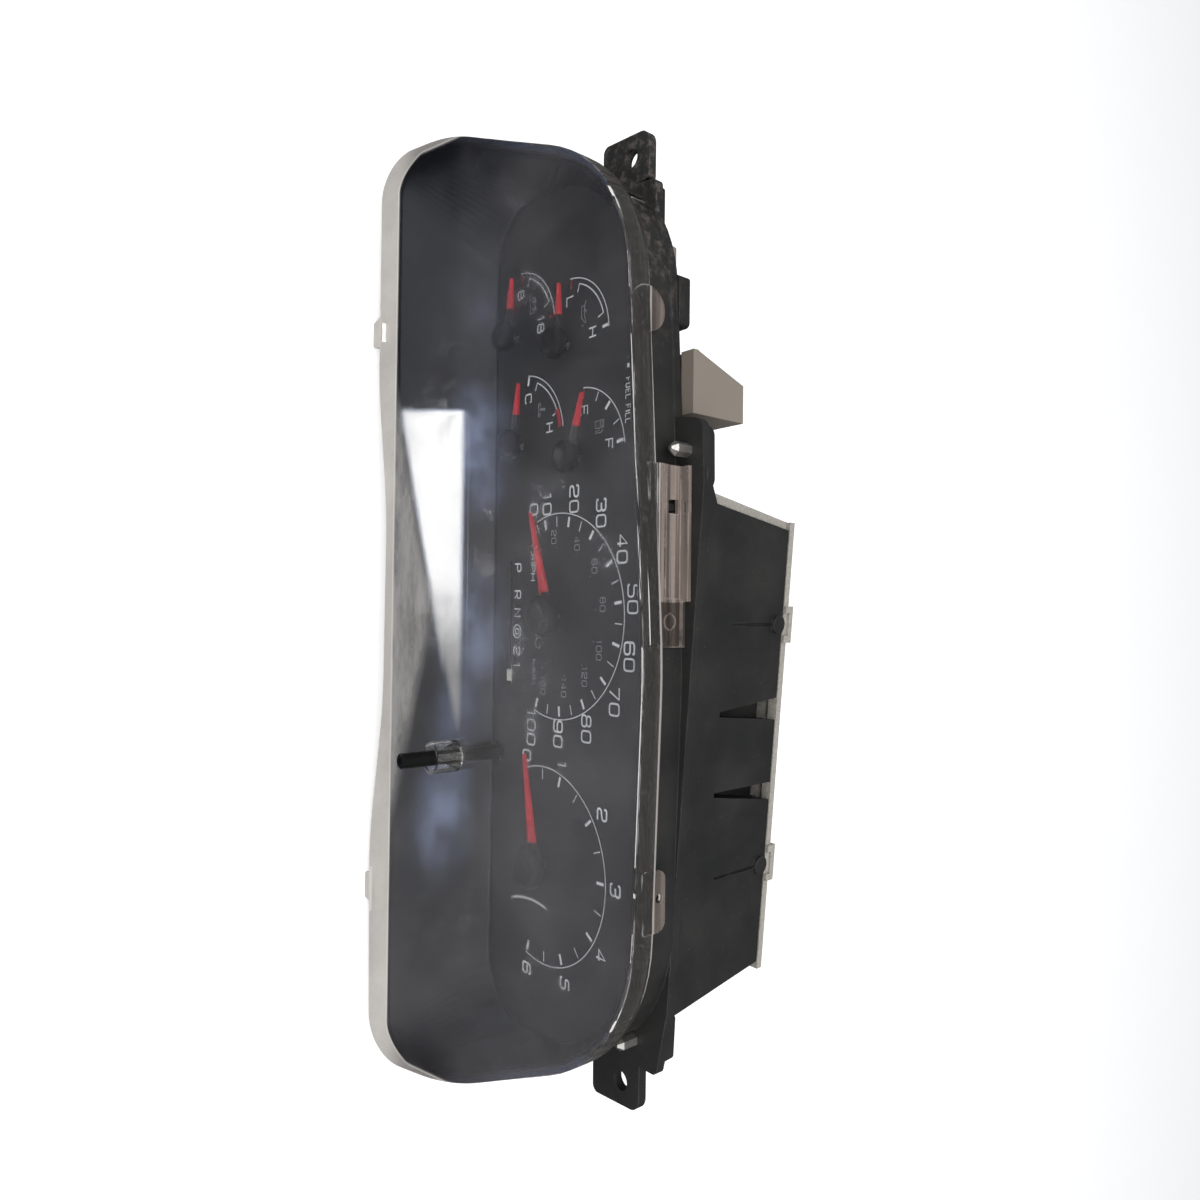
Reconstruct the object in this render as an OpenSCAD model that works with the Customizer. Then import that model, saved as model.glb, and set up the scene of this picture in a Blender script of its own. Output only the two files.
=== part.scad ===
// Vehicle instrument cluster: speedometer, tachometer and four small gauges.
// X runs along the cluster to the driver's right, +Z is up and -Y faces the driver.
// The origin is the centre of the four mounting holes, on the back of the ears.

/* [Dial] */
// Front face of the dial plate, in front of the mounting plane
dial_depth = 21; // [20:0.5:22]

/* [Lens] */
// Half the lens's width at its bottom edge
lens_half_w = 221; // [220:0.5:222]
// Height of the lens's top edge above the origin
lens_top = 82.5; // [82:0.5:83.5]
// Height of the lens's bottom edge below the origin
lens_bottom = 78; // [77:0.5:79]
// How far the lens's bottom edge stands in front of its top edge
lens_lean = 33; // [32:0.5:34]
// Depth of the lens's skirt
lens_skirt = 10; // [9:0.5:11]
// Wall thickness of the lens
lens_wall = 2.2; // [2:0.1:2.4]

/* [Mounting] */
// Distance between the left and right mounting holes
ear_span = 394; // [392:1:396]
// Distance between the upper and lower mounting holes
ear_rise = 89; // [88:0.5:90]
// Radius of a mounting hole
ear_hole_r = 4; // [3:0.25:4.5]

/* [Needles] */
// Distance from the dial to the back of a needle
needle_gap = 4.2; // [3.6:0.1:4.5]
// Thickness of a needle
needle_t = 1.3; // [1:0.1:1.6]

/* [Hidden] */
$fn = 48;

eps = 0.02;
dial_y = -dial_depth;
lens_x = -4;              // middle of the lens, off the middle of the ears
skirt_gap = 1;          // between the lens's skirt and the mask
arc_steps = 12;           // straight pieces in each rounded corner of an outline

// pivots of the gauges on the dial, as x and z
speedo_at = [0.5, 19];
tach_at = [110.4, 11.1];
volt_at = [-129.2, -14.8];
oil_at = [-117.2, 24];
temp_at = [-77.9, -9.7];
fuel_at = [-66.8, 33.4];
stem_at = [64.8, -25];

// pivot, needle's rest angle from straight up, hub radius and length of the needle
SPEEDO = [speedo_at, -107, 9, 48];
TACH = [tach_at, -100, 9, 49];
VOLT = [volt_at, -85, 7, 26.5];
OIL = [oil_at, -90, 7, 26];
TEMP = [temp_at, -82, 7, 28];
FUEL = [fuel_at, -74, 7, 27];
GAUGES = [SPEEDO, TACH, VOLT, OIL, TEMP, FUEL];
function is_large(g) = g[2] > 8;

// depths of the stacked layers, front to back
dial_t = 1;
guide_t = 3;
guide_back = dial_y + dial_t + guide_t;
flange_front = -4;
carrier_t = 2.5;
pan_back = 32;
box_back = 58;
shield_back = 54.5;
shield_mid = 81;        // height of the shield's top above its front edge's middle
shield_fall = 4.8;          // how steeply the shield's top falls to the right
shield_drop = 3.4;        // and to the back, in degrees
shield_left = -45;
shield_right = 162;

black = [0.05, 0.05, 0.055];
clear = [0.86, 0.88, 0.88, 0.35];
white = [0.86, 0.85, 0.82];
red = [0.8, 0.08, 0.08];
copper = [0.72, 0.4, 0.2];
steel = [0.72, 0.72, 0.74];

// Outlines

// One outline corner [x, z, radius] between its neighbours, as points along an arc
function unit(v) = v / norm(v);
function corner(a, b, c) =
    norm(unit([a[0] - b[0], a[1] - b[1]]) + unit([c[0] - b[0], c[1] - b[1]])) < 0.001
        ? straight(a, c, b) : arc(a, b, c);
function straight(a, c, b) =
    let (u = unit([c[0] - a[0], c[1] - a[1]]))
    [for (i = [0:arc_steps]) [b[0], b[1]] + u * (i - arc_steps / 2) / 2];
function arc(a, b, c) =
    let (
        u = unit([a[0] - b[0], a[1] - b[1]]),
        v = unit([c[0] - b[0], c[1] - b[1]]),
        half = acos(max(-1, min(1, u * v))) / 2,
        run = b[2] / tan(half),
        middle = [b[0], b[1]] + unit(u + v) * b[2] / sin(half),
        from = [b[0], b[1]] + u * run - middle,
        to = [b[0], b[1]] + v * run - middle,
        a0 = atan2(from[1], from[0]),
        turn = atan2(from[0] * to[1] - from[1] * to[0], from * to)
    )
    [for (i = [0:arc_steps]) middle + b[2] * [cos(a0 + turn * i / arc_steps), sin(a0 + turn * i / arc_steps)]];
function outline(c) =
    let (n = len(c))
    [for (i = [0:n - 1]) each corner(c[(i + n - 1) % n], c[i], c[(i + 1) % n])];

// Outline corners moved inwards by d, on an outline that runs anticlockwise
function edge_in(a, b, d) =
    let (u = unit([b[0] - a[0], b[1] - a[1]]))
    [[a[0], a[1]] + d * [-u[1], u[0]], u];
function meet(p, q) =
    let (k = cross(q[0] - p[0], q[1]) / cross(p[1], q[1]))
    p[0] + k * p[1];
function inset(c, d) =
    let (n = len(c))
    [for (i = [0:n - 1])
        let (
            before = c[(i + n - 1) % n],
            after = c[(i + 1) % n],
            p = meet(edge_in(before, c[i], d), edge_in(c[i], after, d)),
            bulges = cross([c[i][0] - before[0], c[i][1] - before[1]],
                [after[0] - c[i][0], after[1] - c[i][1]]) > 0
        )
        [p[0], p[1], bulges ? max(c[i][2] - d, 0.5) : c[i][2] + d]];

// The lens seen from the front: round shoulders and a shallow dip in its bottom edge
LENS = [
    [lens_x - lens_half_w, -lens_bottom, 20], [lens_x - 108, -lens_bottom, 260],
    [lens_x - 46, 6.5 - lens_bottom, 260], [lens_x + 49, 6 - lens_bottom, 260],
    [lens_x + 116, -2 - lens_bottom, 260], [lens_x + lens_half_w, -lens_bottom, 20],
    [lens_x + lens_half_w - 2, 52 - lens_bottom, 115],
    [lens_x + lens_half_w - 46, lens_top - 5.5, 72], [lens_x + 24, lens_top, 300],
    [lens_x - lens_half_w + 44, lens_top - 12, 72],
    [lens_x - lens_half_w + 1, 45 - lens_bottom, 80]
];
peak_x = lens_x + 24;
// Outline of the parts stacked behind the lens, higher at the bottom edge
mask_in = lens_wall + skirt_gap;
stack_up = 4.8;
function stack(d) = [for (c = inset(LENS, mask_in + d)) [c[0], c[1] + (c[1] < -50 ? stack_up : 0), c[2]]];
function lens_z(x) = lens_top - (x > peak_x ? 5.5 * (x - peak_x) / 151 : 12 * (peak_x - x) / 201);

// The window in the mask that shows the dial, corner for corner like the lens
ledge = -30;
function between(a, b, t) = [a[0] + t * (b[0] - a[0]), a[1] + t * (b[1] - a[1]), 1];
window_low_left = [-191, ledge, 26];
window_low_right = [187, ledge, 26];
window_top_left = [-187, 64.5, 62];
window_top_right = [182, 69, 62];
WINDOW = [
    window_low_left, [-110, ledge, 60], [-50, ledge, 60], [46, ledge, 60], [106, ledge, 60],
    window_low_right, between(window_low_right, window_top_right, 0.35), window_top_right,
    [-2, 76.6, 300], window_top_left, between(window_low_left, window_top_left, 0.34)
];

// The flange behind the lens: a stepped top edge that falls to the right
FLANGE = [
    [-195, -72, 14], [-104, -72, 20], [-60, -63, 20], [50, -63, 20], [94, -72, 20],
    [185, -72, 14], [192, 20, 20], [187, 50, 4], [186.5, 66, 3], [160, 72, 6],
    [-52, 89.5, 4], [-78, 88.5, 6], [-81, 71, 3], [-140, 70, 3], [-146, 60.5, 3],
    [-183, 60.5, 3], [-186, 40, 6], [-196, 20, 20]
];

// Helpers

// A front-view shape made solid from y0 back to y1
module slab(y0, y1) {
    translate([0, y1, 0]) rotate([90, 0, 0]) linear_extrude(y1 - y0) children();
}
module shape(corners) {
    polygon(outline(corners));
}
module rod(r, y0, y1) {
    translate([0, y1, 0]) rotate([90, 0, 0]) cylinder(r = r, h = y1 - y0);
}
module at(p) {
    translate([p[0], 0, p[1]]) children();
}
module box(x0, x1, y0, y1, z0, z1) {
    translate([x0, y0, z0]) cube([x1 - x0, y1 - y0, z1 - z0]);
}
// A skin through rings of points that all have the same number of points
module loft(rings) {
    n = len(rings[0]);
    m = len(rings);
    polyhedron(
        points = [for (r = rings) each r],
        faces = [
            [for (i = [0:n - 1]) i],
            [for (i = [n - 1:-1:0]) (m - 1) * n + i],
            for (k = [0:m - 2], i = [0:n - 1]) each
                let (a = k * n + i, b = k * n + (i + 1) % n)
                [[a, a + n, b], [b, a + n, b + n]]
        ],
        convexity = 6
    );
}

// The lens's front is a shallow scoop, cut by a wide cylinder that lies along X
lens_stand = 7;    // from the dial to the top of the lens's front
front_top = [dial_y - lens_stand, lens_top];
front_low = [dial_y - lens_stand - lens_lean, -lens_bottom];
sag = 3.5;
chord = front_low - front_top;
scoop_r = chord * chord / (8 * sag) + sag / 2;
scoop_mid = (front_top + front_low) / 2;
scoop_n = unit([chord[1], -chord[0]]);
scoop_at = scoop_mid + scoop_n * (scoop_r - sag);
function scoop_y(z) = scoop_at[0] + sqrt(scoop_r * scoop_r - pow(z - scoop_at[1], 2));
module scoop(back) {
    translate([-260, scoop_at[0] + back, scoop_at[1]])
        rotate([0, 90, 0]) cylinder(r = scoop_r, h = 520, $fn = 256);
}
// A layer that follows the lens's front, from y0 to y1 behind it
module layer(y0, y1, corners) {
    difference() {
        intersection() {
            slab(-90, 10) shape(corners);
            scoop(y1);
        }
        scoop(y0);
    }
}

// Lens

collar_r = 7.3;
collar_wall = 1.6;
collar_h = 11.5;
// clear tabs reach back from the lens's top edge and hook over the housing
tab_t = 1.9;
tab_from = dial_y - 2;
tab_y = flange_front - tab_t - 0.3;
module flat_tab(x) {
    translate([0, 0, lens_z(x) - tab_t - 0.15]) linear_extrude(tab_t) children();
}
step_z = lens_z(2.5) - lens_wall - 1.45;
module long_tab(x0, x1, z1) {
    flat_tab((x0 + x1) / 2) polygon([[x0, tab_from], [x1, tab_from], [x1, tab_y + 0.5], [x0, tab_y + 0.5]]);
    box(x0, x1, tab_y, tab_y + tab_t, lens_z(x0) - 2, z1);
}
module bottom_tab(x) {
    y = scoop_y(-lens_bottom);
    translate([0, 0, -lens_bottom]) difference() {
        slab(y + 1, y + 5)
            shape([[x - 8.5, 1, 0.1], [x - 6, -9.5, 1], [x + 6, -9.5, 1], [x + 8.5, 1, 0.1]]);
        slab(y + 2.6, y + 6)
            shape([[x - 5, -1.5, 0.5], [x - 4, -7.5, 0.5], [x + 4, -7.5, 0.5], [x + 5, -1.5, 0.5]]);
    }
}
module lens() {
    color(clear) difference() {
        union() {
            difference() {
                layer(0, lens_skirt, LENS);
                layer(lens_wall, lens_skirt + 1, inset(LENS, lens_wall));
            }
            at(stem_at) rod(collar_r, scoop_y(stem_at[1]) - collar_h, scoop_y(stem_at[1]) + 1);
            long_tab(-59.5, -6, 83.2);
            box(-59.5, -6, -18.9, -15.9, lens_z(-32.75) - 1, lens_z(-32.75) + 0.6);
            box(-59.5, -6, -14.9, -14.1, lens_z(-32.75) - 1, lens_z(-32.75) + 0.4);
            // the shorter part beside it, with an end rib
            box(-7, 12, tab_from, tab_y + 0.5, step_z, step_z + tab_t);
            box(-7, 12, tab_y - 0.2, tab_y + tab_t - 0.3, step_z - 0.1, step_z + tab_t + 0.8);
            difference() {
                translate([2, -12, step_z + 1]) cylinder(r = 3.2, h = tab_t - 0.7);
                translate([2, -12, step_z + tab_t]) cylinder(r = 2.7, h = 1);
            }
            flat_tab(110) shape([[98, -24, 1], [122, -24, 1], [122, -12.5, 4], [98, -12.5, 4]]);
            flat_tab(-121) translate([-121, -20]) circle(r = 9);
            bottom_tab(-140);
            bottom_tab(136);
        }
        // clear of the mask and the housing's wall
        slab(dial_y - 3, 0) shape(stack(-0.4));
        at(stem_at) rod(collar_r - collar_wall, -90, 0);
        box(-46, -40.5, -13, -7.5, 70, 84);
        box(-45, -41, tab_y - 1, 0, 80.6, 82);
        translate([109, -15.8, 60]) cylinder(r = 1.8, h = 30);
    }
}

// Mask and dial

mask_set = 3.5;   // from the lens's front face back to the mask's rim
lip = 1.5;
function ring(corners, y) = [for (p = outline(corners)) [p[0], y, p[1]]];
function ring_scoop(corners, back) = [for (p = outline(corners)) [p[0], scoop_y(p[1]) + back, p[1]]];
module mask() {
    color(black) difference() {
        difference() {
            slab(-90, dial_y) shape(stack(0));
            scoop(mask_set);
        }
        loft([
            ring(WINDOW, dial_y + 1), ring(WINDOW, dial_y - lip),
            ring_scoop(stack(1.2), mask_set - 1),
            ring(stack(1.2), -100)
        ]);
    }
}
pointer_z = -16.5;
pointer_x = 28.4;
pointer_travel = 50;
module shaft_holes(y0, y1, r) {
    for (g = GAUGES) at(g[0]) rod(r, y0, y1);
}
module pointer_slot(y0, y1) {
    box(pointer_x - pointer_travel - 3, pointer_x + 3.5, y0, y1, pointer_z - 1.2, pointer_z + 1.2);
}
module dial_plate() {
    color([0.1, 0.1, 0.11]) difference() {
        slab(dial_y, dial_y + dial_t) shape(stack(0));
        shaft_holes(-90, 0, 2);
        pointer_slot(-90, 0);
        at(stem_at) rod(4.5, -90, 0);
    }
}
odo_w = 34;
odo_h = 9;
odo_at = [2, 3];
module light_guide() {
    color([0.85, 0.88, 0.8]) difference() {
        slab(dial_y + dial_t, guide_back) shape(stack(3.6));
        shaft_holes(-90, 0, 2.6);
        box(pointer_x - pointer_travel - 12, pointer_x + 12, -90, 0, pointer_z - 6, pointer_z + 6);
        at(stem_at) rod(8, -90, 0);
        at(odo_at) box(-odo_w / 2, odo_w / 2, -90, 0, -odo_h / 2, odo_h / 2);
    }
}

// Housing

// The left ears round a hole at the origin; the right ears mirror them
module high_ear() {
    shape([[-9, 11.5, 6], [-12, -18.5, 3], [12, -18.5, 1], [12, 11.5, 1]]);
}
module low_ear() {
    shape([[-18, 9, 1], [-18, -9, 1], [9, -9, 5], [9, 9, 5]]);
}
ear_x = ear_span / 2;
ear_z = ear_rise / 2;
hex_r = 3;
SCREWS = [[-173.5, 51.2], [-66, 80.3], [176.5, 52.2], [-165, -61], [160, -62], [10, -58]];
// Everything under the shield's sloped top, lowered by d
module under_shield(d) {
    translate([50, flange_front, shield_mid - d]) rotate([-shield_drop, shield_fall, 0])
        box(-200, 200, -60, 90, -220, 0);
}
shield_t = 2.5;
// Wedge cut-outs in the shield's rear edge: tip x, then the mouth's two ends
NOTCHES = [[40, 35, 45], [73.5, 72.5, 80.5]];
notch_tip_y = 16;
pocket_h = 12;
module wedge(n, d) {
    translate([0, 0, -100]) linear_extrude(260)
        polygon([[n[0] - 1 - d, notch_tip_y - d], [n[0] + 1 + d, notch_tip_y - d],
            [n[2] + d, shield_back + 1], [n[1] - d, shield_back + 1]]);
}
module behind(y) {
    box(-300, 300, y, 200, -200, 200);
}
// Snap latches at the ends of two grooves in the shield's top
LATCHES = [3, 109];
latch_r = 4;
module shield() {
    difference() {
        intersection() {
            under_shield(0);
            translate([0, 0, -100]) linear_extrude(260)
                polygon([[shield_left - 14, -2], [shield_left, 5], [-38, shield_back],
                    [153.5, shield_back], [shield_right, -2]]);
        }
        under_shield(shield_t);
        for (n = NOTCHES) wedge(n, 0);
        for (x = LATCHES) difference() {
            box(x - 0.6, x + 0.6, 20, 60, 40, 100);
            under_shield(0.8);
        }
    }
    intersection() {
        difference() {
            under_shield(-1.5);
            under_shield(1.5);
        }
        for (x = LATCHES) translate([x, shield_back - latch_r]) cylinder(r = latch_r, h = 100);
    }
    // dark pockets under the wedges
    for (n = NOTCHES) difference() {
        intersection() {
            wedge(n, 1.6);
            under_shield(shield_t - 0.5);
        }
        under_shield(pocket_h);
        difference() {
            wedge(n, 0);
            under_shield(pocket_h - 1.5);
        }
        behind(shield_back);
    }
}
module housing() {
    color(black) difference() {
        union() {
            // wall between the dial plate and the flange
            difference() {
                slab(dial_y + dial_t, flange_front + 1) shape(stack(0.6));
                slab(dial_y, flange_front + 2) shape(stack(3.2));
                for (s = SCREWS) at(s) rod(hex_r + 0.8, dial_y, flange_front);
            }
            // flange with its four ears
            difference() {
                slab(flange_front, 0) {
                    shape(FLANGE);
                    shape(inset(LENS, 3.2));
                }
                slab(-5, 1) shape(inset(LENS, 17));
            }
            slab(flange_front, 0) for (way = [0, 1]) mirror([way, 0]) {
                translate([-ear_x, ear_z]) high_ear();
                translate([-ear_x, -ear_z]) low_ear();
            }
            shield();
            // blocks behind the flange's stepped top edge
            slab(-1, 5) shape([[-140, 62, 2], [-119, 62, 2], [-119, 72, 2], [-140, 72, 2]]);
            difference() {
                slab(-1, 5) shape([[-77, 64, 2], [-51, 64, 2], [-51, 87, 4], [-77, 86.5, 5]]);
                slab(1.5, 6) shape([[-74.5, 60, 1], [-53.5, 60, 1], [-53.5, 84.5, 2], [-74.5, 84, 3]]);
            }
            slab(-1, 5) shape([[164, 52, 1], [185, 52, 1], [185, 62, 2], [181, 67, 2], [164, 68, 1]]);
            slab(-1, 6) shape([[-184, 40, 2], [-152, 40, 2], [-152, 55.5, 2], [-184, 55.5, 2]]);
            // latch nose that catches the lens's long tab
            box(-44.5, -41.5, -12, -9, 71, lens_z(-42) - 0.6);
        }
        for (sx = [-1, 1], sz = [-1, 1]) at([sx * ear_x, sz * ear_z]) rod(ear_hole_r, -20, 20);
        for (s = SCREWS) at(s) rod(2.1, -20, 20);
    }
}

// Rear side

carrier_in = 14;
module gauge_carrier() {
    color(white) difference() {
        slab(0, carrier_t) shape(inset(LENS, carrier_in));
        box(-230, -150, -5, 10, 39, 100);
        box(-150, -50, -5, 10, 61, 100);
        box(160, 230, -5, 10, 51, 100);
        for (way = [-1, 1]) at([way * ear_x, -ear_z]) rod(13, -5, 10);
        for (s = SCREWS) at(s) rod(2.1, -5, 10);
        for (g = GAUGES, sx = [-1, 1], sz = [-1, 1])
            at(g[0] + [sx, sz] * (is_large(g) ? 12 : 8)) rod(1.1, -5, 10);
        for (s = concat(SOCKETS_BOX, SOCKETS_PAN)) at(s) rod(7, -5, 10);
    }
}
wall = 2.2;
BOX_PLAN = [[-50, carrier_t], [-41.5, box_back], [151, box_back], [158.5, carrier_t]];
PAN_PLAN = [[-176, carrier_t], [-171, pan_back], [-40, pan_back], [-40, carrier_t]];
LAMP_PLAN = [[-108, carrier_t], [-98, pan_back - 1.5], [-82, pan_back - 1.5], [-82, carrier_t]];
function plan_in(p, d, back) = [p[0] + [d, -1], [p[1][0] + d, back], [p[2][0] - d, back], p[3] + [-d, -1]];
low_edge = -54;
pan_top = 36.2;
lamp_top = 79;
module upright(plan, z0, z1) {
    translate([0, 0, z0]) linear_extrude(z1 - z0) polygon(plan);
}
SOCKETS_BOX = [[-22, 40], [-22, -34], [22, 60], [22, -34], [60, 56], [60, -34], [100, 52], [100, -34], [139, 40], [139, -34]];
SOCKETS_PAN = [[-160, 22], [-160, -34], [-141, 22], [-96, 22], [-96, -40], [-58, 0]];
module rear_cover() {
    color(white) difference() {
        union() {
            intersection() {
                upright(BOX_PLAN, low_edge, 95);
                under_shield(shield_t);
            }
            upright(PAN_PLAN, low_edge, pan_top);
            upright(LAMP_PLAN, low_edge, lamp_top);
            box(-108, -82, 0.4, carrier_t + 1, lamp_top - 7, lamp_top);
            // rim behind the shield, raised into a loop behind each latch
            intersection() {
                box(-41.5, 157, shield_back + 0.4, box_back, 20, 110);
                under_shield(-0.3);
            }
            difference() {
                intersection() {
                    for (x = LATCHES) difference() {
                        box(x - 8, x + 8, shield_back + 0.4, box_back + 2, 50, 110);
                        box(x - 5, x + 5, shield_back - 1, box_back - 0.6, 50, 110);
                    }
                    under_shield(-1.5);
                }
                under_shield(8);
            }
        }
        intersection() {
            upright(plan_in(BOX_PLAN, wall, box_back - wall), low_edge + wall, 95);
            under_shield(shield_t + wall);
        }
        upright(plan_in(PAN_PLAN, wall, pan_back - wall), low_edge + wall, pan_top - wall);
        upright(plan_in(LAMP_PLAN, wall, pan_back - 1.5 - wall), low_edge + wall, lamp_top - wall);
        // room for the shield's pockets
        for (n = NOTCHES) difference() {
            wedge(n, 2);
            under_shield(pocket_h + 0.5);
            behind(shield_back + 0.4);
        }
        for (s = SOCKETS_BOX) at(s) rod(6, box_back - 10, box_back + 10);
        for (s = SOCKETS_PAN) at(s) rod(6, pan_back - 10, pan_back + 10);
    }
}
flex_t = 0.5;
module flex_circuit() {
    color([0.25, 0.42, 0.5]) difference() {
        union() {
            slab(box_back, box_back + flex_t)
                shape([[-34, -48, 6], [146, -48, 6], [146, 48, 6], [60, 62, 6], [-34, 70, 6]]);
            slab(pan_back, pan_back + flex_t)
                shape([[-169, -48, 6], [-47, -48, 2], [-47, 24, 2], [-60, 32, 4], [-169, 32, 6]]);
            // the bend from one level to the other, along the cover's side
            translate([0, 0, -20]) linear_extrude(40)
                polygon([[-50, pan_back], [-45.6, pan_back], [-41.6, box_back], [-33, box_back],
                    [-33, box_back + flex_t], [-42.1, box_back + flex_t], [-46.1, pan_back + flex_t],
                    [-50, pan_back + flex_t]]);
        }
        for (s = SOCKETS_BOX) at(s) rod(5.4, box_back - 10, box_back + 10);
        for (s = SOCKETS_PAN) at(s) rod(5.4, pan_back - 10, pan_back + 10);
    }
}
module socket(y) {
    rod(5.2, y - 4, y + flex_t + 0.02);
    rod(7.5, y + flex_t, y + flex_t + 2);
    difference() {
        rod(5, y + flex_t + 1, y + flex_t + 7);
        box(-5, 5, y + flex_t + 3, y + flex_t + 8, 1.4, 6);
        box(-5, 5, y + flex_t + 3, y + flex_t + 8, -6, -1.4);
    }
}
module bulb_sockets() {
    color([0.3, 0.3, 0.32]) {
        for (s = SOCKETS_BOX) at(s) socket(box_back);
        for (s = SOCKETS_PAN) at(s) socket(pan_back);
    }
}
module bulb(y) {
    translate([0, y - 11, 0]) sphere(r = 2.5, $fn = 24);
    rod(2.5, y - 11, y - 4);
}
module bulbs() {
    color([0.95, 0.92, 0.85, 0.5]) {
        for (s = SOCKETS_BOX) at(s) bulb(box_back);
        for (s = SOCKETS_PAN) at(s) bulb(pan_back);
    }
}
conn_w = 44;
conn_h = 15;
conn_d = 16;
pin_reach = 10;
LEFT_CONN = [-134, 0];
RIGHT_CONN = [-1, 8];
module connector(y) {
    difference() {
        slab(y + flex_t, y + flex_t + conn_d)
            shape([[-conn_w / 2, -conn_h / 2, 2], [conn_w / 2, -conn_h / 2, 2],
                [conn_w / 2, conn_h / 2, 2], [-conn_w / 2, conn_h / 2, 2]]);
        box(-conn_w / 2 + 1.6, conn_w / 2 - 1.6, y + flex_t + 2, y + 30, -conn_h / 2 + 1.6, conn_h / 2 - 1.6);
    }
    box(-4, 4, y + flex_t + 3, y + flex_t + conn_d, conn_h / 2 - 0.5, conn_h / 2 + 2);
}
module connector_left() {
    color([0.25, 0.25, 0.27]) at(LEFT_CONN) connector(pan_back);
}
module connector_right() {
    color([0.55, 0.55, 0.55]) at(RIGHT_CONN) connector(box_back);
}
module pins(y) {
    for (i = [-3.5:3.5], j = [-1, 1])
        box(i * 5 - 0.5, i * 5 + 0.5, y + flex_t + 2, y + flex_t + pin_reach, j * 2.6 - 0.5, j * 2.6 + 0.5);
}
module connector_pins() {
    color([0.8, 0.7, 0.4]) {
        at(LEFT_CONN) pins(pan_back);
        at(RIGHT_CONN) pins(box_back);
    }
}

// Screws

hex_h = 7.2;
module hex_screw() {
    rod(2, flange_front - 1, carrier_t - 0.1);
    translate([0, flange_front, 0]) rotate([90, 0, 0]) {
        cylinder(r = hex_r, h = hex_h, $fn = 6);
        translate([0, 0, hex_h]) cylinder(r1 = hex_r, r2 = 1, h = 2.4, $fn = 6);
    }
}
module hex_screws() {
    color(steel) for (s = SCREWS) at(s) hex_screw();
}
// Gauges

needle_back = dial_y - needle_gap;
needle_front = needle_back - needle_t;
module posed(g) {
    at(g[0]) rotate([0, g[1], 0]) children();
}
blade_ridge = 0.9;
module blade_rib(from, to) {
    polyhedron(
        points = [[-1.9, 0, from], [1.9, 0, from], [0, -blade_ridge, from],
            [-0.3, 0, to], [0.3, 0, to], [0, -0.2, to]],
        faces = [[2, 1, 0], [4, 5, 3], [4, 3, 0], [1, 4, 0], [5, 4, 1], [2, 5, 1], [3, 5, 2], [0, 3, 2]]
    );
}
module needle(g) {
    color(red) posed(g) difference() {
        union() {
            slab(needle_front, needle_back) {
                circle(r = 5);
                polygon([[-3.3, 0], [3.3, 0], [0.5, g[3]], [-0.5, g[3]]]);
            }
            rod(2.2, needle_back - eps, needle_back + 1.4);
            translate([0, needle_front + eps, 0]) blade_rib(g[2] + 0.4, g[3]);
        }
        rod(shaft_r, needle_back - 1, needle_back + 5);
    }
}
module hub(g) {
    cap = is_large(g) ? 6.8 : 5.8;
    color(black) posed(g) translate([0, needle_front, 0]) rotate([90, 0, 0]) rotate_extrude()
        polygon([[0, 0], [g[2], 0], [g[2], cap * 0.5], [g[2] - 0.4, cap * 0.68],
            [g[2] - 1.4, cap * 0.85], [g[2] - 3, cap * 0.96], [g[2] * 0.4, cap], [0, cap]]);
}
shaft_r = 0.8;
module shaft(g) {
    color(steel) at(g[0]) rod(shaft_r, needle_back - 1, -12);
}
module movement(g) {
    s = is_large(g) ? 17 : 12;
    color([0.16, 0.16, 0.17]) at(g[0]) difference() {
        union() {
            slab(-14, -11.5) shape([[-s, -s, 3], [s, -s, 3], [s, s, 3], [-s, s, 3]]);
            rod(s * 0.6, -12, -2);
            slab(-2.6, 0) shape([[-s, -s, 3], [s, -s, 3], [s, s, 3], [-s, s, 3]]);
            for (sx = [-1, 1], sz = [-1, 1]) at([sx, sz] * (s - 3)) rod(2, -12, -2);
            rod(3, -15.5, -13);
        }
        rod(shaft_r + 0.05, -20, -11.9);
        rod(1.4, -3.6, 1);
        for (sx = [-1, 1], sz = [-1, 1]) at([sx, sz] * (is_large(g) ? 12 : 8)) rod(0.55, -2.7, 1);
    }
}
module coil(g) {
    s = is_large(g) ? 17 : 12;
    color(copper) at(g[0]) difference() {
        rod(s * 0.6 + 2, -11.4, -2.7);
        rod(s * 0.6 + 0.02, -12, -2);
        for (sx = [-1, 1], sz = [-1, 1]) at([sx, sz] * (s - 3)) rod(2.1, -13, 0);
    }
}
module movement_terminals() {
    color([0.8, 0.7, 0.4]) for (g = GAUGES, sx = [-1, 1], sz = [-1, 1])
        at(g[0] + [sx, sz] * (is_large(g) ? 12 : 8)) rod(0.5, -2.6, carrier_t + 5);
}

// Gear pointer

module shift_pointer() {
    color([0.9, 0.9, 0.86]) {
        box(pointer_x - 2.6, pointer_x + 2.6, dial_y - 0.8, dial_y - 0.4, pointer_z - 1.7, pointer_z + 1.7);
        box(pointer_x - 1.2, pointer_x + 1.2, dial_y - 0.6, guide_back - 0.4, pointer_z - 0.8, pointer_z + 0.8);
        difference() {
            box(pointer_x - 5, pointer_x + 5, dial_y + dial_t + 0.3, guide_back - 0.4, pointer_z - 3, pointer_z + 2);
            box(pointer_x - 6, pointer_x + 6, dial_y + dial_t + 0.8, guide_back - 0.9, pointer_z - 2.4, pointer_z - 1.0);
        }
    }
}
module shift_rail() {
    color(steel) {
        box(pointer_x - pointer_travel - 11, pointer_x + 11, dial_y + dial_t + 0.95, guide_back - 1.05, pointer_z - 2.25, pointer_z - 1.15);
        for (x = [pointer_x - pointer_travel - 11.9, pointer_x + 8])
            box(x, x + 3.9, dial_y + dial_t + 0.1, guide_back - 0.1, pointer_z - 5.9, pointer_z + 2.5);
    }
}

// Trip reset

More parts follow.
